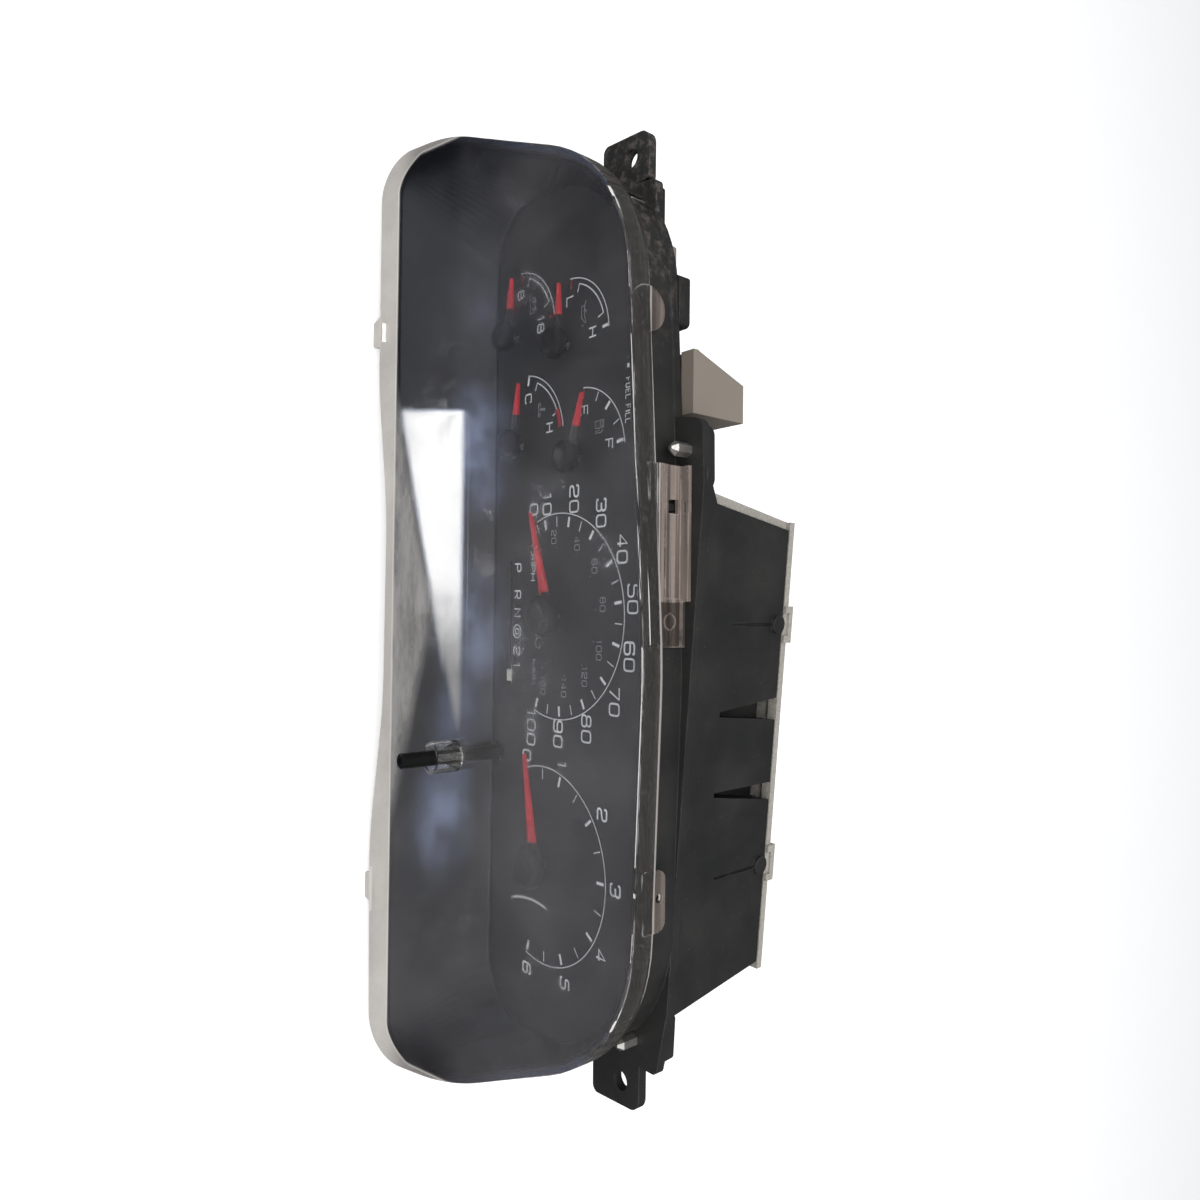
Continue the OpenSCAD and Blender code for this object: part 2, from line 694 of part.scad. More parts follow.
stem_r = 3.4;
stem_tip = -73.6;
module trip_stem() {
    color(black) at(stem_at) difference() {
        union() {
            rod(stem_r, stem_tip + 0.6, -12);
            rod(2.4, -12.2, -7.8);
            translate([0, stem_tip + 0.6, 0]) rotate([90, 0, 0]) cylinder(r1 = stem_r, r2 = stem_r - 0.6, h = 0.6);
            rod(4, -12.5, -11.2);
        }
        rod(1.4, stem_tip - 1, stem_tip + 0.9);
    }
}

module stem_guide() {
    color([0.2, 0.2, 0.2]) at(stem_at) difference() {
        union() {
            rod(5.6, -18, -1);
            box(-7, 7, -3, 0, -7, 7);
        }
        rod(stem_r + 0.05, -30, -14);
        rod(4.3, -15, 1);
    }
}
module stem_spring() {
    color(steel) at(stem_at) difference() {
        rod(3.9, -10.9, -4);
        rod(2.9, -12, -3);
    }
}
module trip_switch() {
    color([0.3, 0.3, 0.3]) at(stem_at) {
        box(-3, 3, -3.9, 0, -3, 3);
        rod(1.2, -4.6, -3.8);
    }
}
module odometer_display() {
    color([0.1, 0.14, 0.14]) at(odo_at) {
        box(-odo_w / 2 + 0.4, odo_w / 2 - 0.4, dial_y + dial_t + 0.3, guide_back + 1.5,
            -odo_h / 2 + 0.4, odo_h / 2 - 0.4);
    }
}
lens();
mask();
dial_plate();
light_guide();
housing();
gauge_carrier();
rear_cover();
flex_circuit();
bulb_sockets();
bulbs();
connector_left();
connector_right();
connector_pins();
hex_screws();
movement_terminals();
movement(SPEEDO);  // speedo_movement
movement(TACH);  // tach_movement
movement(VOLT);  // volt_movement
movement(OIL);  // oil_movement
movement(TEMP);  // temp_movement
movement(FUEL);  // fuel_movement
coil(SPEEDO);  // speedo_coil
coil(TACH);  // tach_coil
coil(VOLT);  // volt_coil
coil(OIL);  // oil_coil
coil(TEMP);  // temp_coil
coil(FUEL);  // fuel_coil
needle(SPEEDO);  // speedo_needle
needle(TACH);  // tach_needle
needle(VOLT);  // volt_needle
needle(OIL);  // oil_needle
needle(TEMP);  // temp_needle
needle(FUEL);  // fuel_needle
hub(SPEEDO);  // speedo_hub
hub(TACH);  // tach_hub
hub(VOLT);  // volt_hub
hub(OIL);  // oil_hub
hub(TEMP);  // temp_hub
hub(FUEL);  // fuel_hub
shaft(SPEEDO);  // speedo_shaft
shaft(TACH);  // tach_shaft
shaft(VOLT);  // volt_shaft
shaft(OIL);  // oil_shaft
shaft(TEMP);  // temp_shaft
shaft(FUEL);  // fuel_shaft
shift_pointer();
shift_rail();
trip_stem();
stem_spring();
stem_guide();
trip_switch();
odometer_display();
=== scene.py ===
import bpy, bmesh, math
from mathutils import Matrix, Vector


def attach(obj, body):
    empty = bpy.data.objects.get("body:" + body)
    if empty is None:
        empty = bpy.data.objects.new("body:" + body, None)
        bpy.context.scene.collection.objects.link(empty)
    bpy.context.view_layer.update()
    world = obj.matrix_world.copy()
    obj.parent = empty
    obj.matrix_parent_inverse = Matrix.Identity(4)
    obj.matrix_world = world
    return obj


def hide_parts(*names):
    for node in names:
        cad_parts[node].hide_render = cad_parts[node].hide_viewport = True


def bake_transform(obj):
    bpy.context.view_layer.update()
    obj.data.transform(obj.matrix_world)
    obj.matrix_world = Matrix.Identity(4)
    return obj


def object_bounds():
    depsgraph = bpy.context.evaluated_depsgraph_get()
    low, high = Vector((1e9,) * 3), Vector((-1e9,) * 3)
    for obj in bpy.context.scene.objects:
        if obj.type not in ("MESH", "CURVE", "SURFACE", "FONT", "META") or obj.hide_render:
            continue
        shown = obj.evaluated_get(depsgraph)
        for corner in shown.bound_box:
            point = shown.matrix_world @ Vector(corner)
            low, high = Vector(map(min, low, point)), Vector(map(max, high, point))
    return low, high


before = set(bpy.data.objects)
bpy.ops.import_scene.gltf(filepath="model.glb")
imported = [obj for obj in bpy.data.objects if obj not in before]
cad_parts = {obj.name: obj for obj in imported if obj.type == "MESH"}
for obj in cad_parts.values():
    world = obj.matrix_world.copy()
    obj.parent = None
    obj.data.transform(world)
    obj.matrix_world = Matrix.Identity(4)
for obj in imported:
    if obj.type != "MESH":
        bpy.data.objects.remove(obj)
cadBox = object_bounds()
mm = 0.001
scene = bpy.context.scene
print("frame loaded:", len(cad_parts), "nodes")


# camera, at the photo's viewing angle
cameraSetup = {"centre": (-1.1, -249.2, 323.0), "look": (-0.01506, 0.63791, -0.76996),
               "down": (0.99982, 0.01878, -0.00399), "lens": 26.01, "sensor": 36, "nearest": 0.01}

def makeCamera(setup):
    data = bpy.data.cameras.new("photoCamera")
    data.lens, data.sensor_width = setup["lens"], setup["sensor"]
    data.clip_start = setup["nearest"]
    back = -Vector(setup["look"]).normalized()
    up = (-Vector(setup["down"])).normalized()
    right = up.cross(back).normalized()
    up = back.cross(right)
    camera = bpy.data.objects.new("photoCamera", data)
    camera.matrix_world = (Matrix.Translation(Vector(setup["centre"]) * mm)
                           @ Matrix((right, up, back)).transposed().to_4x4())
    scene.collection.objects.link(camera)
    scene.camera = camera

makeCamera(cameraSetup)


# small helpers for shader trees
def groupTree(name, inputs, outputs):
    group = bpy.data.node_groups.new(name, "ShaderNodeTree")
    for socketName, kind, value in inputs:
        socket = group.interface.new_socket(name=socketName, in_out="INPUT", socket_type="NodeSocket" + kind)
        socket.default_value = value
    for socketName, kind in outputs:
        group.interface.new_socket(name=socketName, in_out="OUTPUT", socket_type="NodeSocket" + kind)
    return group, group.nodes.new("NodeGroupInput"), group.nodes.new("NodeGroupOutput")

def useGroup(tree, group, **values):
    n = tree.nodes.new("ShaderNodeGroup")
    n.node_tree = group
    for key, value in values.items():
        n.inputs[key].default_value = value
    return n

def node(tree, kind, **values):
    n = tree.nodes.new("ShaderNode" + kind)
    for key, value in values.items():
        if key in n.inputs.keys():
            n.inputs[key].default_value = value
        else:
            setattr(n, key, value)
    return n

def maths(tree, operation, a, b=None, clamp=False):
    n = node(tree, "Math", operation=operation, use_clamp=clamp)
    for i, value in enumerate((a, b)):
        if isinstance(value, (int, float)):
            n.inputs[i].default_value = value
        elif value is not None:
            tree.links.new(value, n.inputs[i])
    return n.outputs[0]

def fold(tree, operation, values):
    total = values[0]
    for value in values[1:]:
        total = maths(tree, operation, total, value)
    return total

def times(tree, *values):
    return fold(tree, "MULTIPLY", values)

def plus(tree, *values):
    return fold(tree, "ADD", values)

def highest(tree, *values):
    return fold(tree, "MAXIMUM", values)

def minus(tree, a, b):
    return maths(tree, "SUBTRACT", a, b)

def magnitude(tree, a):
    return maths(tree, "ABSOLUTE", a)

def hypotenuse(tree, a, b, weight=None):
    # root of a squared plus b squared, the latter times the weight if there is one
    second = times(tree, b, b, weight) if weight else times(tree, b, b)
    return maths(tree, "SQRT", plus(tree, times(tree, a, a), second))

def ramp(tree, source, low, high):
    # smooth step from 0 at low to 1 at high
    n = node(tree, "MapRange", interpolation_type="SMOOTHSTEP")
    n.inputs["From Min"].default_value, n.inputs["From Max"].default_value = low, high
    tree.links.new(source, n.inputs["Value"])
    return n.outputs[0]

def band(tree, source, low, high, soft):
    # 1 between low and high, with soft ends
    return times(tree, ramp(tree, source, low - soft, low + soft), ramp(tree, source, high + soft, high - soft))

def split(tree, vector):
    n = node(tree, "SeparateXYZ")
    tree.links.new(vector, n.inputs[0])
    return n.outputs["X"], n.outputs["Y"], n.outputs["Z"]

def place(tree):
    return split(tree, node(tree, "TexCoord").outputs["Object"])

def facing(tree):
    return split(tree, node(tree, "NewGeometry").outputs["Normal"])

def distanceTo(tree, centre):
    # distance from the line along Y through the centre's x and z
    x, y, z = place(tree)
    return hypotenuse(tree, minus(tree, x, centre[0]), minus(tree, z, centre[1]))

def noise(tree, scale, detail=3.0, rough=0.55, stretch=None, turn=0.0):
    where = node(tree, "TexCoord").outputs["Object"]
    if stretch:
        squeeze = node(tree, "Mapping", Scale=stretch, Rotation=(0, turn, 0))
        tree.links.new(where, squeeze.inputs["Vector"])
        where = squeeze.outputs[0]
    n = node(tree, "TexNoise", Scale=scale, Detail=detail, Roughness=rough)
    tree.links.new(where, n.inputs["Vector"])
    return n.outputs["Fac"]

def specks(tree, scale, size, share):
    # small round specks, each cell's own chance decides whether it has one
    n = node(tree, "TexVoronoi", Scale=scale)
    tree.links.new(node(tree, "TexCoord").outputs["Object"], n.inputs["Vector"])
    chance = node(tree, "SeparateColor")
    tree.links.new(n.outputs["Color"], chance.inputs[0])
    return times(tree, ramp(tree, n.outputs["Distance"], size, size * 0.5),
                 ramp(tree, chance.outputs[0], 1 - share, 1.001 - share))

def mixColour(tree, factor, a, b):
    n = node(tree, "Mix", data_type="RGBA")
    for i, value in ((6, a), (7, b)):
        if isinstance(value, tuple):
            n.inputs[i].default_value = (*value, 1)
        else:
            tree.links.new(value, n.inputs[i])
    tree.links.new(factor, n.inputs[0])
    return n.outputs[2]

def mixShaders(tree, factor, first, second):
    n = node(tree, "MixShader")
    for i, value in enumerate((factor, first, second)):
        tree.links.new(value, n.inputs[i])
    return n.outputs[0]

def seenDirectly(tree, path):
    # 1 for the camera, also through the clear plastic
    return maths(tree, "ADD", path.outputs["Is Camera Ray"], path.outputs["Is Transmission Ray"], True)


# shared effects
grainLook = {"fine": 1500, "cloudy": 26, "speckled": 900, "dustColour": (0.2, 0.185, 0.165),
             "darkest": (0.45, 0.45, 0.45), "lightest": (1.5, 1.5, 1.5)}

def makeGrainGroup(look):
    # moulded plastic: fine grain, cloudy tone, settled dust and pale specks
    g, inn, out = groupTree("mouldedGrain",
        [("Colour", "Color", (0.02, 0.02, 0.02, 1)), ("Rough", "Float", 0.5), ("Dust", "Float", 0.3)],
        [("Colour", "Color"), ("Rough", "Float"), ("Height", "Float")])
    cloudy = noise(g, look["cloudy"], 4)
    upward = ramp(g, facing(g)[2], 0.1, 0.9)
    settled = times(g, plus(g, times(g, upward, 0.8), 0.2), inn.outputs["Dust"], ramp(g, cloudy, 0.3, 0.75))
    dots = times(g, specks(g, 420, 0.16, 0.16), inn.outputs["Dust"])
    dust = maths(g, "ADD", times(g, settled, 0.22), times(g, dots, 0.5), True)
    tone = node(g, "Mix", data_type="RGBA", blend_type="MULTIPLY")
    tone.inputs[0].default_value = 0.85
    g.links.new(inn.outputs["Colour"], tone.inputs[6])
    g.links.new(mixColour(g, noise(g, look["speckled"], 3), look["darkest"], look["lightest"]), tone.inputs[7])
    g.links.new(mixColour(g, dust, tone.outputs[2], look["dustColour"]), out.inputs["Colour"])
    wander = times(g, minus(g, cloudy, 0.5), 0.22)
    rough = maths(g, "ADD", plus(g, inn.outputs["Rough"], wander), times(g, dust, 0.5), True)
    g.links.new(rough, out.inputs["Rough"])
    g.links.new(noise(g, look["fine"], 2), out.inputs["Height"])
    return g

def makeScratchGroup():
    # hairline scratches, as thin bands of stretched noise in three directions
    g, inn, out = groupTree("hairScratches", [("Amount", "Float", 1.0)], [("Mask", "Float")])
    hairs = []
    for scale, stretch, turn in ((60, (1, 1, 14), 0.3), (90, (9, 1, 1), -0.5), (48, (1, 1, 20), 1.2)):
        line = magnitude(g, minus(g, noise(g, scale, 2.0, 0.6, stretch, turn), 0.5))
        hairs.append(ramp(g, line, 0.006, 0.0))
    broken = ramp(g, noise(g, 30, 4, 0.6), 0.5, 0.66)
    mask = maths(g, "MULTIPLY", times(g, highest(g, *hairs), broken), inn.outputs["Amount"], True)
    g.links.new(mask, out.inputs["Mask"])
    return g

def makeEdgeGroup():
    # rounds sharp edges in the shading, and gives a mask of the edges that are painted pale: partly worn edges,
    # partly painted edge highlight
    g, inn, out = groupTree("softEdges", [("Radius", "Float", 0.0004)], [("Normal", "Vector"), ("Edge", "Float")])
    bevel = node(g, "Bevel", samples=4)
    g.links.new(inn.outputs["Radius"], bevel.inputs["Radius"])
    g.links.new(bevel.outputs[0], out.inputs["Normal"])
    n = node(g, "VectorMath", operation="DOT_PRODUCT")
    g.links.new(bevel.outputs[0], n.inputs[0])
    g.links.new(node(g, "NewGeometry").outputs["Normal"], n.inputs[1])
    wornAndHighlitEdges = times(g, ramp(g, n.outputs["Value"], 0.97, 0.75), ramp(g, noise(g, 60, 4, 0.7), 0.42, 0.62))
    g.links.new(wornAndHighlitEdges, out.inputs["Edge"])
    return g

grainGroup = makeGrainGroup(grainLook)
scratchGroup = makeScratchGroup()
edgeGroup = makeEdgeGroup()


# materials
def newMaterial(name):
    m = bpy.data.materials.new(name)
    m.use_nodes = True
    tree = m.node_tree
    return m, tree, tree.nodes["Principled BSDF"], tree.nodes["Material Output"]

def setInputs(shader, **values):
    # socket names are written without their spaces
    sockets = {socket.name.replace(" ", ""): socket for socket in shader.inputs}
    for key, value in values.items():
        sockets[key].default_value = value

def finishSurface(tree, shader, height, strength, distance, edges=None):
    b = node(tree, "Bump", Strength=strength, Distance=distance)
    tree.links.new(height, b.inputs["Height"])
    if edges:
        tree.links.new(edges.outputs["Normal"], b.inputs["Normal"])
    tree.links.new(b.outputs[0], shader.inputs["Normal"])

def plastic(name, colour, rough=0.5, dust=0.3, bump=0.2, specular=0.5, wear=0.3, edge=0.0004,
            paint=None, glow=0.0):
    # paint(tree, colour) may lay one more coat over the plain colour
    m, tree, shader, out = newMaterial(name)
    g = useGroup(tree, grainGroup, Dust=dust, Rough=rough, Colour=(*colour, 1))
    edges = useGroup(tree, edgeGroup, Radius=edge)
    pale = tuple(min(c * 3 + 0.05, 0.85) for c in colour)
    # painted highlight and wear: the edges turn pale, both as worn edges and for the light that edges catch
    tone = mixColour(tree, times(tree, edges.outputs["Edge"], wear), g.outputs["Colour"], pale)
    if paint:
        tone = paint(tree, tone)
    tree.links.new(tone, shader.inputs["Base Color"])
    tree.links.new(g.outputs["Rough"], shader.inputs["Roughness"])
    setInputs(shader, SpecularIORLevel=specular)
    # painted light: a glow makes the part give off light of its own colour
    if glow:
        setInputs(shader, EmissionColor=(*colour, 1), EmissionStrength=glow)
    finishSurface(tree, shader, g.outputs["Height"], bump, 0.00015, edges)
    return m

def metal(name, colour, rough=0.35, stretch=(1, 1, 1), bump=0.1, tarnish=(0.2, 0.13, 0.08)):
    m, tree, shader, out = newMaterial(name)
    setInputs(shader, Metallic=1)
    fine = noise(tree, 900, 3, 0.6, stretch)
    cloudy = noise(tree, 110, 4, 0.65)
    edges = useGroup(tree, edgeGroup, Radius=0.0003)
    tone = mixColour(tree, cloudy, tuple(c * 0.6 for c in colour), colour)
    tone = mixColour(tree, times(tree, ramp(tree, cloudy, 0.52, 0.72), 0.5), tone, tarnish)
    tree.links.new(tone, shader.inputs["Base Color"])
    uneven = plus(tree, times(tree, fine, 0.25), times(tree, cloudy, 0.2))
    tree.links.new(maths(tree, "ADD", uneven, rough - 0.2, True), shader.inputs["Roughness"])
    finishSurface(tree, shader, fine, bump, 0.0002, edges)
    return m

def clearPlastic(name, tint, rough=0.02, scratches=1.0, paint=None):
    m, tree, shader, out = newMaterial(name)
    setInputs(shader, BaseColor=(*tint, 1), TransmissionWeight=1, IOR=1.49)
    s = useGroup(tree, scratchGroup, Amount=scratches)
    cloud = ramp(tree, noise(tree, 35, 5, 0.65), 0.45, 0.75)
    uneven = plus(tree, times(tree, s.outputs["Mask"], 0.25), times(tree, cloud, 0.012))
    tree.links.new(maths(tree, "ADD", uneven, rough, True), shader.inputs["Roughness"])
    finishSurface(tree, shader, s.outputs["Mask"], 0.15, 0.00005)
    if paint:
        tree.links.new(paint(tree, tint), shader.inputs["Base Color"])
    # light passes straight through it in shadows
    clear = node(tree, "BsdfTransparent", Color=(*[c * 0.96 for c in tint], 1))
    shadow = node(tree, "LightPath").outputs["Is Shadow Ray"]
    tree.links.new(mixShaders(tree, shadow, shader.outputs[0], clear.outputs[0]), out.inputs["Surface"])
    return m

lensShadeAndTint = {"middle": -0.004, "ends": (0.198, 0.215), "endShare": 0.85, "endColour": (0.16, 0.16, 0.17),
            "low": (-0.064, -0.074), "lowColour": (0.93, 0.9, 0.86)}

def smokyEnds(tree, tint):
    # painted shade: the lens darkens towards its two ends, standing in for the dark surroundings seen through
    # them; it also yellows a little at the bottom edge
    x, y, z = place(tree)
    ends = ramp(tree, magnitude(tree, plus(tree, x, -lensShadeAndTint["middle"])), *lensShadeAndTint["ends"])
    tone = mixColour(tree, ramp(tree, z, *lensShadeAndTint["low"]), tint, lensShadeAndTint["lowColour"])
    return mixColour(tree, times(tree, ends, lensShadeAndTint["endShare"]), tone, lensShadeAndTint["endColour"])

housingDirtAndSheen = {"left": (-0.09, -0.19), "front": (0.004, -0.004), "share": 0.65, "colour": (0.165, 0.135, 0.115),
         "ahead": (-0.6, -0.95), "aheadShare": (0.15, 0.4), "aheadColour": (0.06, 0.058, 0.055)}

def housingGrime(tree, tone):
    # brown grit in the valley beside the lens, thickest at the left ear, where its grey also stands in for the
    # sheen on the ear (painted highlight)
    x, y, z = place(tree)
    patches = ramp(tree, noise(tree, 240, 5, 0.7), 0.46, 0.66)
    gritPlusEarSheen = times(tree, ramp(tree, x, *housingDirtAndSheen["left"]), ramp(tree, y, *housingDirtAndSheen["front"]), patches, housingDirtAndSheen["share"])
    # faces turned to the front are a little paler: partly dust, partly painted light for the light they catch
    least, more = housingDirtAndSheen["aheadShare"]
    dust = plus(tree, least, times(tree, noise(tree, 60, 4), more))
    ahead = times(tree, ramp(tree, facing(tree)[1], *housingDirtAndSheen["ahead"]), dust)
    return mixColour(tree, gritPlusEarSheen, mixColour(tree, ahead, tone, housingDirtAndSheen["aheadColour"]), housingDirtAndSheen["colour"])

coverBlock = {"border": (-0.056, -0.06), "colour": (0.25, 0.215, 0.18)}

def shadedBlock(tree, tone):
    # painted shade: the block behind the small gauges is browner than the rest of the cover
    return mixColour(tree, ramp(tree, place(tree)[0], *coverBlock["border"]), tone, coverBlock["colour"])

tracks = {"scale": 38.0, "bend": 2.5, "bendScale": 0.6, "colour": (0.42, 0.25, 0.1)}

def circuitTracks(tree, tone):
    # copper tracks seen through the blue-green film
    n = node(tree, "TexWave", Scale=tracks["scale"], Distortion=tracks["bend"], Detail=0.0, bands_direction="Z")
    n.inputs["Detail Scale"].default_value = tracks["bendScale"]
    tree.links.new(node(tree, "TexCoord").outputs["Object"], n.inputs["Vector"])
    lines = times(tree, ramp(tree, n.outputs["Fac"], 0.45, 0.55), ramp(tree, noise(tree, 18, 0), 0.4, 0.42))
    return mixColour(tree, lines, tone, tracks["colour"])

# pivots as x and z in mm, and the radius from which each needle is red
gauges = {
    "speedo": {"pivot": (0.5, 19), "red": 10.4}, "tach": {"pivot": (110.4, 11.1), "red": 10.4},
    "volt": {"pivot": (-129.2, -14.8), "red": 12.6}, "oil": {"pivot": (-117.2, 24), "red": 12.0},
    "temp": {"pivot": (-77.9, -9.7), "red": 13.6}, "fuel": {"pivot": (-66.8, 33.4), "red": 13.0}}
needleLook = {"red": (0.5, 0.022, 0.034), "deep": (0.36, 0.014, 0.024), "black": (0.012, 0.012, 0.013),
              "soft": 0.5}

def needleRed(gauge):
    # red from the given radius out, black near the pivot
    def paint(tree, tone):
        reach = distanceTo(tree, (gauge["pivot"][0] * mm, gauge["pivot"][1] * mm))
        shade = mixColour(tree, ramp(tree, noise(tree, 160, 3), 0.35, 0.7), tone, needleLook["deep"])
        outer = ramp(tree, reach, gauge["red"] * mm, (gauge["red"] + needleLook["soft"]) * mm)
        return mixColour(tree, outer, needleLook["black"], shade)
    return paint

# painted light: the print glows a little, so that it reads brighter than the light on it makes it
def ink(name, colour, glow):
    return plastic(name, colour, rough=0.55, dust=0.0, bump=0.02, specular=0.3, wear=0.0, glow=glow)

finishes = {
    "housing": plastic("housingPlastic", (0.0075, 0.0075, 0.0077), rough=0.55, dust=0.4, bump=0.6, specular=0.4,
                       wear=0.9, edge=0.0007, paint=housingGrime),
    # painted reflection: the mask's black leans blue, standing in for the bluish surroundings it mirrors
    "mask": plastic("maskBlack", (0.006, 0.0068, 0.0095), rough=0.34, dust=0.04, bump=0.04, wear=0.6, edge=0.001),
    "dial": plastic("dialFace", (0.0125, 0.0135, 0.0155), rough=0.6, dust=0.05, bump=0.03, specular=0.4, wear=0.2),
    "cover": plastic("coverPlastic", (0.4, 0.375, 0.335), rough=0.55, dust=0.45, bump=0.12, specular=0.4,
                     wear=0.2, paint=shadedBlock),
    "lightGuide": plastic("guidePlastic", (0.6, 0.63, 0.6), rough=0.2, dust=0.0, bump=0.03, wear=0.0),
    "socket": plastic("socketPlastic", (0.035, 0.035, 0.04)),
    "connector": plastic("connectorPlastic", (0.02, 0.02, 0.022), rough=0.45, wear=0.4),
    "connectorLight": plastic("connectorGrey", (0.13, 0.114, 0.1), rough=0.55, dust=0.12, specular=0.3, wear=0.2),
    "inner": plastic("innerPlastic", (0.02, 0.02, 0.022), dust=0.1, wear=0.2),
    "hub": plastic("hubBlack", (0.008, 0.008, 0.009), rough=0.42, dust=0.02, bump=0.05, specular=0.12, wear=0.35),
    "stem": plastic("stemBlack", (0.004, 0.004, 0.004), rough=0.45, dust=0.03, bump=0.15, specular=0.15,
                    wear=0.25, edge=0.0003),
    "pointer": plastic("pointerWhite", (0.6, 0.6, 0.55), rough=0.45, dust=0.2, bump=0.1, wear=0.1),
    "display": plastic("displayGlass", (0.01, 0.03, 0.03), rough=0.1, dust=0.0, bump=0.02, wear=0.0),
    "steel": metal("platedSteel", (0.56, 0.54, 0.51), rough=0.42),
    "contact": metal("contactMetal", (0.75, 0.6, 0.33), rough=0.3),
    "coil": metal("coilCopper", (0.75, 0.33, 0.15), rough=0.4, stretch=(1, 12, 1), bump=0.3),
    "flex": plastic("flexFilm", (0.025, 0.09, 0.12), rough=0.25, dust=0.15, bump=0.1, wear=0.1, edge=0.0002,
                    paint=circuitTracks),
    "lens": clearPlastic("lensClear", (0.985, 0.985, 0.98), paint=smokyEnds),
    "bulb": clearPlastic("bulbGlass", (0.98, 0.96, 0.92), rough=0.03, scratches=0.0),
    "ink": ink("dialInk", (0.62, 0.64, 0.67), 0.3),
    "dimInk": ink("dialInkDim", (0.34, 0.35, 0.38), 0.16),
    "redInk": ink("dialInkRed", (0.3, 0.02, 0.03), 0.05),
}
for name, gauge in gauges.items():
    finishes[name + "Needle"] = plastic(name + "NeedleRed", needleLook["red"], rough=0.36, dust=0.0, bump=0.06,
                                        wear=0.35, edge=0.0002, paint=needleRed(gauge))

nodeFinish = {"lens": "lens", "mask": "mask", "dial_plate": "dial", "light_guide": "lightGuide",
              "housing": "housing", "gauge_carrier": "cover", "rear_cover": "cover", "flex_circuit": "flex",
              "bulb_sockets": "socket", "bulbs": "bulb", "connector_left": "connector",
              "connector_right": "connectorLight",
              "connector_pins": "contact", "hex_screws": "steel", "movement_terminals": "contact",
              "shift_pointer": "pointer", "shift_rail": "steel", "trip_stem": "stem", "stem_spring": "steel",
              "stem_guide": "inner", "trip_switch": "inner", "odometer_display": "display"}
for gauge in gauges:
    nodeFinish.update({gauge + "_movement": "inner", gauge + "_coil": "coil", gauge + "_needle": gauge + "Needle",
                       gauge + "_hub": "hub", gauge + "_shaft": "steel"})

def dress(obj, finish):
    obj.data.materials.clear()
    obj.data.materials.append(finishes[finish])

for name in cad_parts:
    dress(bpy.data.objects[name], nodeFinish[name])
print("materials on the nodes")

def newObject(name, bm):
    mesh = bpy.data.meshes.new(name)
    bm.to_mesh(mesh)
    bm.free()
    obj = bpy.data.objects.new(name, mesh)
    scene.collection.objects.link(obj)
    return obj

def addPiece(name, bm, finish, body="cluster"):
    obj = newObject(name, bm)
    dress(obj, finish)
    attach(obj, body)
    return obj

def wireMesh(paths, radius, resolution):
    # a round wire along each path, given as its points and whether it is closed
    curve = bpy.data.curves.new("wire", "CURVE")
    curve.dimensions, curve.use_fill_caps = "3D", True
    curve.bevel_depth, curve.bevel_resolution = radius, resolution
    for points, closed in paths:
        spline = curve.splines.new("POLY")
        spline.points.add(len(points) - 1)
        for target, point in zip(spline.points, points):
            target.co = (*point, 1)
        spline.use_cyclic_u = closed
    holder = bpy.data.objects.new("wire", curve)
    scene.collection.objects.link(holder)
    mesh = bpy.data.meshes.new_from_object(holder)
    bpy.data.objects.remove(holder)
    return mesh


# dust, haze and scuffs lying on the clear lens, with painted highlight lines along its edges, as a thin film over
# its outer faces
lensFilm = {
    "lift": 0.06, "frontWay": (-0.971, 0.235), "frontFrom": (0.85, 0.93), "backFrom": 0.3, "bump": 0.1,
    "hazeColour": (0.5, 0.475, 0.48), "rubbedColour": (0.4, 0.385, 0.37), "edgeColour": (0.64, 0.605, 0.565),
    "tabColour": (0.4, 0.33, 0.29), "rough": 0.6, "specular": 0.1,
    # how much of each layer lies on the front
    "even": 0.022, "haze": 0.06, "cloud": 0.022, "grain": 0.07, "hair": 0.22, "speck": 0.55, "cleaner": -0.75,
    # the rubbed zone: its upper edge falls away from the middle
    "rubbedTop": -0.038, "rubbedFall": -0.25, "rubbedMiddle": -0.002, "rubbedEnds": (-0.11, 0.13),
    "rubbed": (0.42, 0.3),
    "scuffAt": (0.1492, 0.0215), "scuffRing": (0.0293, 0.0303), "scuffHeights": (0.0125, 0.0325), "scuff": 0.55,
    # the outline that the wall's thickness follows: half its straight parts, and its corner radius
    "halfWide": 0.201, "halfHigh": 0.058, "corner": 0.02, "middle": -0.004,
    "wallEnd": 0.0045, "wallLow": 0.008, "wall": (0.28, 0.36, 0.2, 0.12), "wallLine": (0.0004, 0.0012, 0.25),
    "collar": (0.0648, -0.025), "collarReach": (0.009, 0.011), "sides": (0.05, 0.8, 0.12, 0.12),
    "edgeLines": 0.8, "topLine": (-0.0192, -0.0181, 0.5),
    # from and to along x, and how hazy
    "tabs": ((-0.06, -0.0055, 0.8), (-0.007, 0.0125, 0.16), (0.0975, 0.1225, 0.42), (-0.131, -0.111, 0.5)),
    "clips": (-0.14, 0.136), "clipHalf": 0.0105, "clipTop": (-0.077, -0.079), "clip": 0.75}

def frontFilm(tree, look, cloud, fine):
    # soft clouds, hairlines and specks all over the front,
    # denser to the right and cleaner on the left part of the mask
    x, y, z = place(tree)
    upper = plus(tree, 0.2, times(tree, ramp(tree, z, -0.04, 0.02), 0.8))
    haze = times(tree, ramp(tree, x, -0.14, 0.02), upper, look["haze"])
    film = plus(tree, look["even"], haze, times(tree, cloud, look["cloud"]),
                times(tree, fine, cloud, look["grain"]))
    clean = times(tree, ramp(tree, x, 0.03, -0.08), ramp(tree, z, -0.018, -0.034), look["cleaner"])
    hair = useGroup(tree, scratchGroup, Amount=0.7).outputs["Mask"]
    return plus(tree, times(tree, film, plus(tree, clean, 1.0)), times(tree, hair, look["hair"]),
                times(tree, specks(tree, 210, 0.07, 0.07), look["speck"]))

